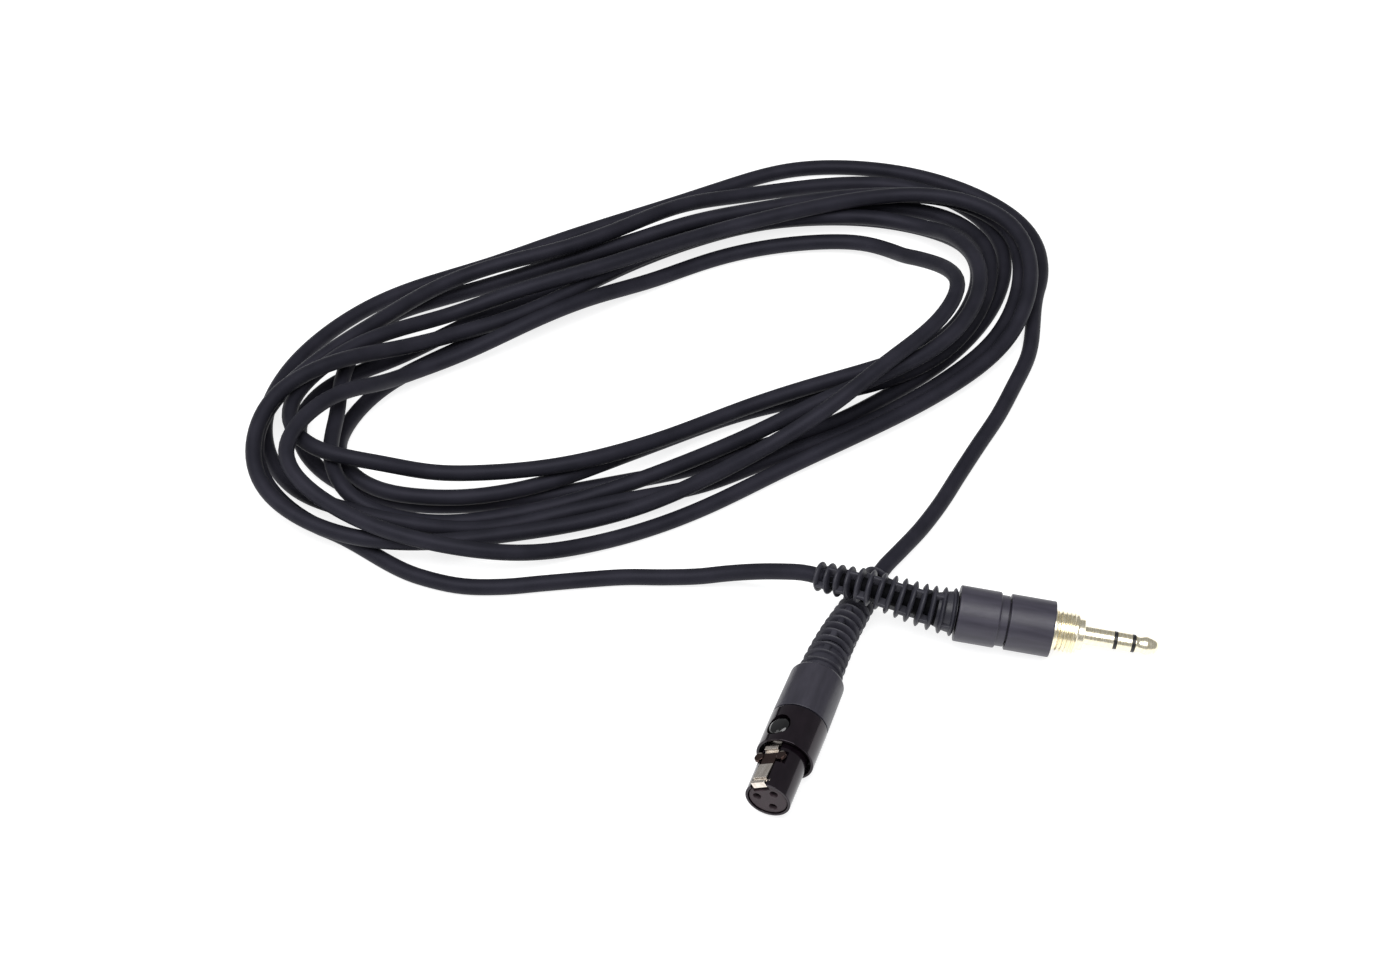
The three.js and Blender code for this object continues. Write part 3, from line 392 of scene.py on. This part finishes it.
def finish(name, dark, light, rough, grain, bump=0.2, patch=0.004, along=None,
           stretch=(1, 1, 1), **constants):
    """A surface that varies between two tones and two roughnesses in patches, over a fine grain.
    The pattern can be turned to a connector's axis and stretched along it."""
    made = bpy.data.materials.new(name)
    made.use_nodes = True
    tree = made.node_tree
    at = add(tree, "ShaderNodeTexCoord").outputs["Object"]
    if along is not None:
        inverse = along.inverted()
        at = add(tree, "ShaderNodeMapping", {"Vector": at, "Location": inverse.translation,
                                             "Rotation": inverse.to_euler()}).outputs["Vector"]
        at = add(tree, "ShaderNodeMapping", {"Vector": at, "Scale": stretch}).outputs["Vector"]
    patches = add(tree, "ShaderNodeTexNoise", {"Vector": at, "Scale": 1 / patch, "Detail": 3.0})
    fine = add(tree, "ShaderNodeTexNoise", {"Vector": at, "Scale": 1 / grain, "Detail": 2.0})
    tone = add(tree, "ShaderNodeValToRGB", {"Fac": patches.outputs["Fac"]})
    for element, place, colour in zip(tone.color_ramp.elements, (0.3, 0.72), (dark, light)):
        element.position, element.color = place, (*colour, 1)
    mixed = maths(tree, "MULTIPLY", patches.outputs["Fac"], fine.outputs["Fac"])
    gloss = add(tree, "ShaderNodeMapRange", {
        "Value": mixed, "From Min": 0.12, "From Max": 0.4, "To Min": rough[0], "To Max": rough[1]})
    relief = add(tree, "ShaderNodeBump", {
        "Height": fine.outputs["Fac"], "Strength": bump, "Distance": grain / 6})
    shader = tree.nodes["Principled BSDF"]
    tree.links.new(tone.outputs["Color"], shader.inputs["Base Color"])
    tree.links.new(gloss.outputs["Result"], shader.inputs["Roughness"])
    tree.links.new(relief.outputs["Normal"], shader.inputs["Normal"])
    for socket, value in constants.items():
        shader.inputs[socket.replace("_", " ")].default_value = value
    return made


boot_rubber = finish("soft_boot_rubber", (0.02, 0.0195, 0.027), (0.034, 0.033, 0.044), (0.36, 0.52),
                     0.0003, patch=0.003, Specular_IOR_Level=0.32)
# In the deep slots the rubber is matt, and its colour is darkened almost to black as painted shade
slot_shade_rubber = finish("matt_slot_painted_shade", (0.0016, 0.0016, 0.0024), (0.003, 0.003, 0.0042), (0.6, 0.8),
                     0.0003, patch=0.003, Specular_IOR_Level=0.05)


def finned_boot_tree():
    """Fins and bars along a line whose points carry the boot's radius."""
    tree = bpy.data.node_groups.new("finned_boot", "GeometryNodeTree")
    face = tree.interface
    face.new_socket("Geometry", in_out="OUTPUT", socket_type="NodeSocketGeometry")
    face.new_socket("Geometry", in_out="INPUT", socket_type="NodeSocketGeometry")
    sizes = "First Fin", "Fin Width", "Bar Width", "Pitch", "Collar", "Slot Floor"
    for name, kind in (("Fins", "Int"), *[(size, "Float") for size in sizes],
                       ("Rubber", "Material"), ("Slot Rubber", "Material")):
        face.new_socket(name, in_out="INPUT", socket_type=f"NodeSocket{kind}")
    given = add(tree, "NodeGroupInput").outputs
    line = add(tree, "GeometryNodeMeshToCurve", {"Mesh": given["Geometry"]})
    radius = add(tree, "GeometryNodeInputNamedAttribute", {"Name": "boot_radius"},
                 data_type="FLOAT").outputs["Attribute"]
    share = add(tree, "GeometryNodeSplineParameter").outputs["Factor"]

    # The core, nearly as thick as the fins at first, then thin between them
    full_depth_at = maths(tree, "ADD", given["Collar"], 0.3)
    thickness = add(tree, "ShaderNodeMapRange", {
        "Value": share, "From Min": given["Collar"], "From Max": full_depth_at,
        "To Min": 0.86, "To Max": given["Slot Floor"]}, interpolation_type="SMOOTHSTEP")
    core_line = add(tree, "GeometryNodeCaptureAttribute", {"Geometry": line.outputs["Curve"]})
    core_line.capture_items.new("FLOAT", "Thickness")
    tree.links.new(thickness.outputs["Result"], core_line.inputs["Thickness"])
    round_section = add(tree, "GeometryNodeCurvePrimitiveCircle", {"Resolution": 40, "Radius": 1.0})
    core = add(tree, "GeometryNodeCurveToMesh", {
        "Curve": core_line.outputs["Geometry"], "Profile Curve": round_section.outputs["Curve"],
        "Scale": maths(tree, "MULTIPLY", radius, thickness.outputs["Result"]), "Fill Caps": True})

    # Places for the fins, evenly spaced on the ribbed share of the line
    ribbed = add(tree, "GeometryNodeTrimCurve", {
        "Curve": line.outputs["Curve"], "Start": given["First Fin"], "End": 1.0}, mode="FACTOR")
    stored = add(tree, "GeometryNodeCaptureAttribute", {"Geometry": ribbed.outputs["Curve"]})
    stored.capture_items.new("FLOAT", "Radius")
    tree.links.new(radius, stored.inputs["Radius"])
    spots = add(tree, "GeometryNodeCurveToPoints", {
        "Curve": stored.outputs["Geometry"], "Count": given["Fins"]}, mode="COUNT")
    across = stored.outputs["Radius"]
    flat = add(tree, "ShaderNodeCombineXYZ", {"X": across, "Y": across, "Z": 1.0}).outputs["Vector"]

    # One fin: a thin disc with a blunt rim, 1 m in radius before it is scaled to the boot
    half = maths(tree, "MULTIPLY", given["Fin Width"], 0.5)
    back = maths(tree, "MULTIPLY", half, -1.0)
    axle = add(tree, "GeometryNodeCurvePrimitiveLine", {
        "Start": add(tree, "ShaderNodeCombineXYZ", {"Z": back}).outputs["Vector"],
        "End": add(tree, "ShaderNodeCombineXYZ", {"Z": half}).outputs["Vector"]})
    axle = add(tree, "GeometryNodeResampleCurve", {"Curve": axle.outputs["Curve"], "Count": 9})
    rim = add(tree, "ShaderNodeFloatCurve", {
        "Value": add(tree, "GeometryNodeSplineParameter").outputs["Factor"]})
    points = rim.mapping.curves[0].points
    points[0].location, points[1].location = (0, 0.8), (1, 0.8)
    for place in ((0.25, 0.95), (0.5, 1.0), (0.75, 0.95)):
        points.new(*place)
    rim.mapping.update()
    fin_section = add(tree, "GeometryNodeCurvePrimitiveCircle", {"Resolution": 48, "Radius": 1.0})
    fin = add(tree, "GeometryNodeCurveToMesh", {
        "Curve": axle.outputs["Curve"], "Profile Curve": fin_section.outputs["Curve"],
        "Scale": rim.outputs["Value"], "Fill Caps": True})
    fins = add(tree, "GeometryNodeInstanceOnPoints", {
        "Points": spots.outputs["Points"], "Instance": fin.outputs["Mesh"],
        "Rotation": spots.outputs["Rotation"], "Scale": flat})

    # One bar across the boot, rounded where it meets the fins' rims, turned a quarter each time
    bar_end = add(tree, "ShaderNodeCombineXYZ", {"Z": given["Pitch"]}).outputs["Vector"]
    bar_line = add(tree, "GeometryNodeCurvePrimitiveLine", {"End": bar_end})
    bar_section = add(tree, "GeometryNodeCurvePrimitiveQuadrilateral", {
        "Width": 1.88, "Height": given["Bar Width"]})
    bar_section = add(tree, "GeometryNodeFilletCurve", {
        "Curve": bar_section.outputs["Curve"], "Count": 4,
        "Radius": maths(tree, "MULTIPLY", given["Bar Width"], 0.3)}, mode="POLY")
    bar = add(tree, "GeometryNodeCurveToMesh", {
        "Curve": bar_line.outputs["Curve"], "Profile Curve": bar_section.outputs["Curve"],
        "Fill Caps": True})
    number = add(tree, "GeometryNodeInputIndex").outputs["Index"]
    quarter = add(tree, "FunctionNodeAxisAngleToRotation", {
        "Axis": (0, 0, 1), "Angle": maths(tree, "MULTIPLY", number, math.pi / 2)})
    turned_bar = add(tree, "FunctionNodeRotateRotation", {
        "Rotation": spots.outputs["Rotation"], "Rotate By": quarter.outputs["Rotation"]},
        rotation_space="LOCAL")
    before_last = maths(tree, "ADD", given["Fins"], -1.5)
    not_last = add(tree, "FunctionNodeCompare", {0: number, 1: before_last},
                   data_type="FLOAT", operation="LESS_THAN")
    bars = add(tree, "GeometryNodeInstanceOnPoints", {
        "Points": spots.outputs["Points"], "Selection": not_last.outputs["Result"],
        "Instance": bar.outputs["Mesh"], "Rotation": turned_bar.outputs["Rotation"], "Scale": flat})

    # All of it is the same rubber, apart from the core where the slots are deep, which gets the rubber
    # with painted shade
    core = add(tree, "GeometryNodeSetMaterial", {
        "Geometry": core.outputs["Mesh"], "Material": given["Rubber"]})
    deep = add(tree, "FunctionNodeCompare", {0: core_line.outputs["Thickness"], 1: 0.75},
               data_type="FLOAT", operation="LESS_THAN")
    core = add(tree, "GeometryNodeSetMaterial", {
        "Geometry": core.outputs["Geometry"], "Selection": deep.outputs["Result"],
        "Material": given["Slot Rubber"]})
    ribs = add(tree, "GeometryNodeJoinGeometry")
    for part in (fins, bars):
        tree.links.new(part.outputs["Instances"], ribs.inputs["Geometry"])
    ribs = add(tree, "GeometryNodeRealizeInstances", {"Geometry": ribs.outputs["Geometry"]})
    ribs = add(tree, "GeometryNodeSetMaterial", {
        "Geometry": ribs.outputs["Geometry"], "Material": given["Rubber"]})
    whole = add(tree, "GeometryNodeJoinGeometry")
    for part in (core, ribs):
        tree.links.new(part.outputs["Geometry"], whole.inputs["Geometry"])
    out = add(tree, "NodeGroupOutput")
    tree.links.new(whole.outputs["Geometry"], out.inputs["Geometry"])
    return tree


def grown(name, mesh, tree, **inputs):
    """The plain mesh that a Geometry Nodes tree makes of a mesh."""
    seed = bpy.data.objects.new(name, mesh)
    scene.collection.objects.link(seed)
    modifier = seed.modifiers.new(name, "NODES")
    modifier.node_group = tree
    sockets = {s.name: s.identifier for s in tree.interface.items_tree if s.in_out == "INPUT"}
    for key, value in inputs.items():
        modifier[sockets[key.replace("_", " ")]] = value
    bpy.context.view_layer.update()
    made = bpy.data.meshes.new_from_object(seed.evaluated_get(bpy.context.evaluated_depsgraph_get()))
    bpy.data.objects.remove(seed)
    made.name = name
    return made


def boot_seed(name, line, thick, thin):
    """The boot's line as a chain of edges, with its radius at every point."""
    mesh = bpy.data.meshes.new(name)
    mesh.from_pydata([tuple(p) for p in line], [(i, i + 1) for i in range(len(line) - 1)], [])
    radii = mesh.attributes.new("boot_radius", "FLOAT", "POINT")
    radii.data.foreach_set("value", np.linspace(thick, thin, len(line)).astype(np.float32))
    return mesh


finned_boot = finned_boot_tree()
mini_boot = grown(
    "connector_boot", boot_seed("connector_boot_line", MINI_BOOT_LINE, thick=0.0044, thin=0.0028),
    finned_boot, Fins=15, First_Fin=0.06, Fin_Width=0.00085, Bar_Width=0.32, Pitch=0.0017,
    Collar=0.1, Slot_Floor=0.62, Rubber=boot_rubber, Slot_Rubber=slot_shade_rubber)
jack_boot = grown(
    "jack_boot_moulding", boot_seed("jack_boot_line", JACK_BOOT_LINE, thick=0.0047, thin=0.0029),
    finned_boot, Fins=14, First_Fin=0.02, Fin_Width=0.00105, Bar_Width=0.22, Pitch=0.0019,
    Collar=0.02, Slot_Floor=0.5, Rubber=boot_rubber, Slot_Rubber=slot_shade_rubber)
for mesh in (mini_boot, jack_boot):
    mesh.polygons.foreach_set("use_smooth", [True] * len(mesh.polygons))
    mesh.set_sharp_from_angle(angle=math.radians(40))
piece("connector_boot", mini_boot, None, "cable", "boot_rubber", "xlr_boot")
piece("jack_boot_moulding", jack_boot, None, "cable", "boot_rubber", "jack_boot")


# ------------------------------------------------------------------ miniature connector: housing
# The rear sleeve is a painted metal tube that screws over the front shell; the shell is black
# anodised metal, with a round hole for the release button and a hood over the rear of the
# nose.
def soften(outline, radius, steps=4):
    """An outline with its corners rounded, and held just before and after each of them."""
    outline = [Vector(p) for p in outline]
    soft = []
    for i, corner in enumerate(outline):
        before, after = outline[i - 1] - corner, outline[(i + 1) % len(outline)] - corner
        reach = min(radius, before.length * 0.4, after.length * 0.4)
        start, end = corner + before.normalized() * reach, corner + after.normalized() * reach
        if corner.y < 1e-7 or before.angle(after, 0) > math.radians(172):
            soft.append(corner)
            continue
        held_before = corner + before.normalized() * min(reach * 1.6, before.length * 0.45)
        held_after = corner + after.normalized() * min(reach * 1.6, after.length * 0.45)
        soft.append(held_before)
        soft += [(1 - u)**2 * start + 2 * u * (1 - u) * corner + u**2 * end
                 for u in (k / steps for k in range(steps + 1))]
        soft.append(held_after)
    return soft


def turned(name, outline, place, radius=0.00012, sides=96):
    """A turned piece about a connector's axis. The outline goes round its section: places along
    the axis and radii. One that starts and ends on the axis is solid."""
    rings = soften(outline, radius)
    mesh = bmesh.new()
    loops = []
    for x, r in rings:
        if r < 1e-7:
            loops.append([mesh.verts.new((x, 0, 0))])
            continue
        loops.append([mesh.verts.new((x, r * math.cos(a), r * math.sin(a)))
                      for a in (2 * math.pi * k / sides for k in range(sides))])
    solid = len(loops[0]) == 1
    for a, b in zip(loops, loops[1:] if solid else loops[1:] + loops[:1]):
        for j in range(sides):
            k = (j + 1) % sides
            corners = [a[j % len(a)], a[k % len(a)], b[k % len(b)], b[j % len(b)]]
            corners = [v for n, v in enumerate(corners) if v not in corners[:n]]
            if len(corners) > 2:
                mesh.faces.new(corners)
    bmesh.ops.recalc_face_normals(mesh, faces=mesh.faces)
    return closed_mesh(name, mesh, place)


def closed_mesh(name, mesh, place=Matrix.Identity(4), sharp=35):
    """A bmesh as a smooth mesh in the frame of the whole part."""
    made = bpy.data.meshes.new(name)
    mesh.to_mesh(made)
    mesh.free()
    made.transform(place)
    made.polygons.foreach_set("use_smooth", [True] * len(made.polygons))
    made.set_sharp_from_angle(angle=math.radians(sharp))
    return made


def cut(mesh, *tools):
    """The mesh with other meshes cut out of it."""
    body = bpy.data.objects.new("blank", mesh)
    scene.collection.objects.link(body)
    cutters = []
    for tool in tools:
        cutter = bpy.data.objects.new("cutter", tool)
        scene.collection.objects.link(cutter)
        modifier = body.modifiers.new("cut", "BOOLEAN")
        modifier.operation, modifier.solver, modifier.object = "DIFFERENCE", "EXACT", cutter
        cutters.append(cutter)
    bpy.context.view_layer.update()
    made = bpy.data.meshes.new_from_object(body.evaluated_get(bpy.context.evaluated_depsgraph_get()))
    for used in (body, *cutters):
        bpy.data.objects.remove(used)
    made.polygons.foreach_set("use_smooth", [True] * len(made.polygons))
    made.set_sharp_from_angle(angle=math.radians(30))
    return made


def box(size_x, size_y, size_z, place):
    """A block between two places on each of a connector's axes."""
    mesh = bmesh.new()
    bmesh.ops.create_cube(mesh, size=1)
    for v in mesh.verts:
        v.co = Vector([low + (c + 0.5) * (high - low)
                       for c, (low, high) in zip(v.co, (size_x, size_y, size_z))])
    return closed_mesh("block", mesh, place)


def standing(x, y=0.0):
    """The frame of something turned about a line that stands on the miniature connector's axis."""
    return MINI @ Matrix.Translation((x, y, 0)) @ Matrix.Rotation(-math.pi / 2, 4, "Y")


slate_paint = finish("slate_satin_paint", (0.02, 0.0185, 0.027), (0.031, 0.0285, 0.041),
                     (0.34, 0.47), 0.00022, bump=0.3, patch=0.0012, along=MINI,
                     stretch=(0.16, 1, 1), Specular_IOR_Level=0.5)
rear_sleeve = turned("rear_sleeve", [
    (0.0032, 0.0051), (0.0036, 0.0053), (0.0143, 0.0055), (0.0143, 0.00435), (0.0032, 0.00435)], MINI)
piece("rear_sleeve", rear_sleeve, slate_paint, "cable", "black_barrel", "xlr_rear_sleeve")

black_anodised = finish("gloss_black_shell", (0.003, 0.0019, 0.003), (0.0065, 0.0042, 0.0062),
                        (0.1, 0.17), 0.0002, bump=0.12, patch=0.0016, along=MINI,
                        stretch=(0.5, 1, 1), Specular_IOR_Level=0.36, Specular_Tint=(1, 0.88, 1, 1))
BUTTON_X, BUTTON_HOLE_R = 0.01945, 0.00245
front_shell = cut(
    turned("front_shell", [
        (0.0092, 0.0041), (0.0146, 0.0041), (0.0146, 0.00555), (0.0233, 0.00555), (0.0233, 0.005),
        (0.0207, 0.005), (0.0207, 0.00465), (0.0151, 0.00465), (0.0151, 0.0036), (0.0092, 0.0036)],
        MINI, 0.00016),
    turned("button_hole", [
        (0.0031, 0), (0.0031, BUTTON_HOLE_R), (0.008, BUTTON_HOLE_R), (0.008, 0)],
        standing(BUTTON_X), 0))
piece("front_shell", front_shell, black_anodised, "cable", "black_shell", "xlr_front_shell")


# ------------------------------------------------------------------ miniature connector: nose
# A thin black tube round a moulded insert. The tube is open along its top for the latch, and
# wider for the latch's lugs. The insert is a matt brownish plastic with three holes in its
# face for the pins.
SLOT_HALF = 0.0017
LUG_ROOM_X, LUG_ROOM_HALF = (0.02465, 0.02745), 0.0038
BUTTON_WELL_R = 0.00265
nose_tube = cut(
    turned("nose_tube", [(0.0154, 0.00435), (0.0333, 0.00435), (0.0333, 0.00385), (0.0154, 0.00385)],
           MINI, 0.0001),
    box((0.016, 0.035), (-SLOT_HALF, SLOT_HALF), (0, 0.006), MINI),
    box(LUG_ROOM_X, (-LUG_ROOM_HALF, LUG_ROOM_HALF), (0.003, 0.006), MINI),
    turned("button_well", [(0.0025, 0), (0.0025, BUTTON_WELL_R), (0.006, BUTTON_WELL_R), (0.006, 0)],
           standing(BUTTON_X), 0))
piece("nose_tube", nose_tube, black_anodised, "cable", "black_shell", "xlr_nose_tube")

moulded_insert = finish("matt_insert_plastic", (0.028, 0.019, 0.023), (0.045, 0.031, 0.037),
                        (0.46, 0.6), 0.00012, bump=0.35, patch=0.0014, Specular_IOR_Level=0.25)
PIN_CIRCLE_R = 0.0021
PIN_HOLE = [(0.011, 0), (0.011, 0.00102), (0.0317, 0.00102), (0.0317, 0.00074),
            (0.0329, 0.00074), (0.0333, 0.00092), (0.0333, 0)]
pin_places = [(0, PIN_CIRCLE_R * math.sin(a), PIN_CIRCLE_R * math.cos(a))
              for a in map(math.radians, (60, 180, 300))]
socket_insert = cut(
    turned("socket_insert", [
        (0.012, 0), (0.012, 0.0034), (0.0153, 0.0034), (0.0153, 0.0037), (0.0331, 0.0037), (0.0331, 0)],
        MINI, 0.0002),
    box((0.0157, 0.035), (-SLOT_HALF, SLOT_HALF), (0.0023, 0.005), MINI),
    box(LUG_ROOM_X, (-LUG_ROOM_HALF, LUG_ROOM_HALF), (0.0028, 0.005), MINI),
    *[turned("pin_hole", PIN_HOLE, MINI @ Matrix.Translation(place), 0, 32) for place in pin_places])
piece("socket_insert", socket_insert, moulded_insert, "cable", "insert_plastic", "xlr_socket_insert")


# ------------------------------------------------------------------ latch and release button
# The latch is a strip of bright spring steel with a catch, a fold at its front and a round lug
# on each side. It turns on a cross pin near the face, and the button presses its rear end
# down. The button is a domed cap of glossy black plastic.
def plate(outline, width):
    """An outline beside a connector's axis, given a width across it."""
    mesh = bmesh.new()
    ends = [[mesh.verts.new((x, y, z)) for x, z in outline] for y in (-width / 2, width / 2)]
    mesh.faces.new(ends[0])
    mesh.faces.new(reversed(ends[1]))
    for i in range(len(outline)):
        k = (i + 1) % len(outline)
        mesh.faces.new((ends[0][i], ends[1][i], ends[1][k], ends[0][k]))
    bmesh.ops.recalc_face_normals(mesh, faces=mesh.faces)
    return mesh


LUG_X = 0.02605


def add_lug(mesh, side):
    """A round lug on one side of the latch, with the neck that carries it."""
    lug = bmesh.ops.create_cone(mesh, cap_ends=True, segments=40, radius1=0.00105, radius2=0.00095,
                                depth=0.0005)["verts"]
    bmesh.ops.translate(mesh, verts=lug, vec=(LUG_X, side * 0.0024, 0.003925))
    for v in bmesh.ops.create_cube(mesh, size=1)["verts"]:
        v.co = Vector((LUG_X + v.co.x * 0.001, side * (0.00165 + v.co.y * 0.0014),
                       0.00377 + v.co.z * 0.0004))


latch_outline = soften([
    (0.0176, 0.0034), (0.0306, 0.0034), (0.0306, 0.003), (0.033, 0.003), (0.033, 0.00445),
    (0.0323, 0.00445), (0.0323, 0.0041), (0.0318, 0.0041), (0.0318, 0.0045), (0.028, 0.00415),
    (0.028, 0.004), (0.0248, 0.004), (0.0248, 0.00455), (0.0238, 0.00455), (0.0236, 0.004),
    (0.0176, 0.004)], 0.00015, 3)
latch_mesh = plate(latch_outline, 0.0029)
for side in (-1, 1):
    add_lug(latch_mesh, side)
spring_steel = finish("bright_spring_steel", (0.62, 0.55, 0.48), (0.86, 0.8, 0.73), (0.16, 0.3),
                      0.00008, bump=0.15, patch=0.0011, along=MINI, stretch=(0.2, 1.6, 1), Metallic=1.0)
# A dark brown painted reflection lies on the steel between the catch and the rise of the front, round the
# lugs
tree = spring_steel.node_tree
along_axis = add(tree, "ShaderNodeMapping", {
    "Vector": add(tree, "ShaderNodeTexCoord").outputs["Object"],
    "Location": MINI.inverted().translation, "Rotation": MINI.inverted().to_euler()})
from_face = add(tree, "ShaderNodeSeparateXYZ", {"Vector": along_axis.outputs["Vector"]}).outputs["X"]
bright = tree.nodes["Principled BSDF"].inputs["Base Color"]
dark_reflection_band = add(tree, "ShaderNodeMix", {
    "Factor": maths(tree, "COMPARE", from_face, 0.0267, 0.0014),
    6: bright.links[0].from_socket, 7: (0.07, 0.045, 0.04, 1)}, data_type="RGBA")
tree.links.new(dark_reflection_band.outputs[2], bright)
latch = piece("latch_strip", closed_mesh("latch_strip", latch_mesh, MINI, 25), spring_steel,
              "latch", "spring_steel", "xlr_latch")
edge = latch.modifiers.new("edge", "BEVEL")
edge.width, edge.segments = 0.00007, 2
edge.limit_method, edge.angle_limit = "ANGLE", math.radians(50)

gloss_plastic = finish("gloss_black_plastic", (0.001, 0.001, 0.0013), (0.002, 0.002, 0.0025),
                       (0.05, 0.1), 0.0002, bump=0.1, patch=0.001, Specular_IOR_Level=0.6)
button_cap = turned("button_cap", [
    (0.0041, 0), (0.0041, 0.0012), (0.0046, 0.0012), (0.0046, 0.00218), (0.0049, 0.00215),
    (0.00522, 0.00188), (0.00545, 0.0014), (0.00555, 0.0007), (0.00557, 0)],
    standing(BUTTON_X), 0.0001)
piece("button_cap", button_cap, gloss_plastic, "release_button", "black_plastic", "xlr_release_button")


# ------------------------------------------------------------------ jack
# A 3.5 mm stereo jack: a satin slate barrel in two parts with a groove between them, of which
# the front one turns and carries a gilt threaded collar, and the gilt shank with its two
# insulating rings.
jack_paint = finish("slate_barrel_paint", (0.03, 0.0275, 0.04), (0.046, 0.042, 0.06), (0.36, 0.5),
                    0.0002, bump=0.3, patch=0.0011, along=JACK, stretch=(0.12, 1, 1),
                    Specular_IOR_Level=0.45)
barrel = turned("barrel", [
    (0, 0.0053), (0.0002, 0.0054), (0.0077, 0.0054), (0.0079, 0.00525), (0.0079, 0.0049),
    (0.0095, 0.0049), (0.0095, 0.00385), (0.0124, 0.00385), (0.0124, 0.00335), (0, 0.00335)], JACK)
piece("barrel", barrel, jack_paint, "cable", "black_barrel", "jack_rear_barrel")
nut_grip = turned("nut_grip", [
    (0.0098, 0.0054), (0.0184, 0.0054), (0.0184, 0.00402), (0.0127, 0.00402), (0.0127, 0.00415),
    (0.0098, 0.00415)], JACK, 0.0002)
piece("nut_grip", nut_grip, jack_paint, "lock_nut", "black_barrel", "jack_lock_nut")


def threaded_collar():
    """The collar's front, with a real helical thread that runs out at both ends."""
    root, crest, pitch = 0.00365, 0.00395, 0.0008
    start, end, sides, steps = 0.0188, 0.0232, 96, 132
    run_in, run_out = 0.0005, 0.0006
    mesh = bmesh.new()
    rings = []
    for x in np.linspace(start, end, steps):
        ring = []
        for a in np.linspace(0, 2 * math.pi, sides, endpoint=False):
            phase = ((x - start) / pitch + a / (2 * math.pi)) % 1
            height = np.interp(phase, [0, 0.12, 0.44, 0.56, 0.88, 1], [0, 0, 1, 1, 0, 0])
            fade = min(1.0, (x - start) / run_in, (end - x) / run_out)
            r = root + (crest - root) * height * fade
            ring.append(mesh.verts.new((x, r * math.cos(a), r * math.sin(a))))
        rings.append(ring)
    for x, r in ((end, 0.003), (0.0243, 0.003), (0.0244, 0.0029), (0.0244, 0.00205), (0.0232, 0.00205),
                 (0.0232, 0.0032), (0.0127, 0.0032), (0.0127, 0.0039), (0.0184, 0.0039), (0.0184, 0.00385),
                 (0.0184, 0.004), (0.0188, 0.004)):
        rings.append([mesh.verts.new((x, r * math.cos(a), r * math.sin(a)))
                      for a in np.linspace(0, 2 * math.pi, sides, endpoint=False)])
    for a, b in zip(rings, rings[1:] + rings[:1]):
        for j in range(sides):
            mesh.faces.new((a[j], a[(j + 1) % sides], b[(j + 1) % sides], b[j]))
    bmesh.ops.recalc_face_normals(mesh, faces=mesh.faces)
    return closed_mesh("threaded_collar", mesh, JACK, 40)


pale_gilt = finish("pale_gilt", (0.93, 0.83, 0.58), (0.99, 0.93, 0.76), (0.2, 0.32), 0.00009,
                   bump=0.12, patch=0.0016, along=JACK, stretch=(4, 1, 1), Metallic=1.0)
piece("threaded_collar", threaded_collar(), pale_gilt, "lock_nut", "gold_plate", "jack_lock_nut")
shank_sleeve = turned("shank_sleeve", [
    (0.007, 0.00305), (0.012, 0.00305), (0.012, 0.0029), (0.0229, 0.0029), (0.0229, 0.00175),
    (0.0302, 0.00175), (0.0302, 0.00135), (0.007, 0.00135)], JACK, 0.00006)
piece("shank_sleeve", shank_sleeve, pale_gilt, "cable", "gold_plate", "jack_sleeve_contact")
shank_ring = turned("shank_ring", [
    (0.0058, 0.00105), (0.0309, 0.00105), (0.0309, 0.00175), (0.0337, 0.00175), (0.0337, 0.00075),
    (0.0058, 0.00075)], JACK, 0.00006)
piece("shank_ring", shank_ring, pale_gilt, "cable", "gold_plate", "jack_ring_contact")
shank_tip = turned("shank_tip", [
    (0.0048, 0), (0.0048, 0.00045), (0.0344, 0.00045), (0.0344, 0.00165), (0.0349, 0.00145),
    (0.0354, 0.00142), (0.0361, 0.0017), (0.0366, 0.00175), (0.0377, 0.0015), (0.0385, 0.00115),
    (0.0389, 0.0006), (0.0389, 0)], JACK, 0.00025)
piece("shank_tip", shank_tip, pale_gilt, "cable", "gold_plate", "jack_tip_contact")

ring_plastic = finish("black_insulator", (0.006, 0.006, 0.007), (0.012, 0.011, 0.013), (0.3, 0.45),
                      0.0002, patch=0.001)


def insulator(name, node, rear, groove, front, inner, bore):
    """A thin black tube round a contact, with a ring at its front that fills a groove."""
    mesh = turned(name, [(rear, inner), (groove, inner), (groove, 0.00172), (front, 0.00172),
                         (front, bore), (rear, bore)], JACK, 0.00003)
    piece(name, mesh, ring_plastic, "cable", "black_plastic", node)


insulator("rear_insulator", "jack_insulator_rear", 0.0064, 0.03025, 0.03085, 0.0013, 0.0011)
insulator("front_insulator", "jack_insulator_front", 0.0052, 0.03375, 0.03435, 0.0007, 0.0005)


# ------------------------------------------------------------------ inside the connectors
# The jacketed cord runs through each boot to a split steel clamp. Three insulated cores go on
# from there to the contacts, which are gilt tubes in the miniature connector.
def refinish(node, material):
    """A node of the fixed frame with another finish."""
    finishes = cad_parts[node].data.materials
    finishes.clear()
    finishes.append(material)


for connector in ("xlr", "jack"):
    refinish(f"{connector}_cord_tail", jacket)
    refinish(f"{connector}_cable_clamp", spring_steel)
refinish("xlr_latch_pin", spring_steel)
for number in (1, 2, 3):
    refinish(f"xlr_contact_{number}", pale_gilt)
CORE_COLOURS = [((0.3, 0.02, 0.015), (0.4, 0.03, 0.02)), ((0.6, 0.58, 0.52), (0.7, 0.68, 0.62)),
                ((0.015, 0.015, 0.015), (0.03, 0.03, 0.03))]
for number, (dark, light) in enumerate(CORE_COLOURS, 1):
    insulation = finish(f"core_insulation_{number}", dark, light, (0.35, 0.5), 0.0002, patch=0.001)
    for connector in ("xlr", "jack"):
        refinish(f"{connector}_wire_{number}", insulation)
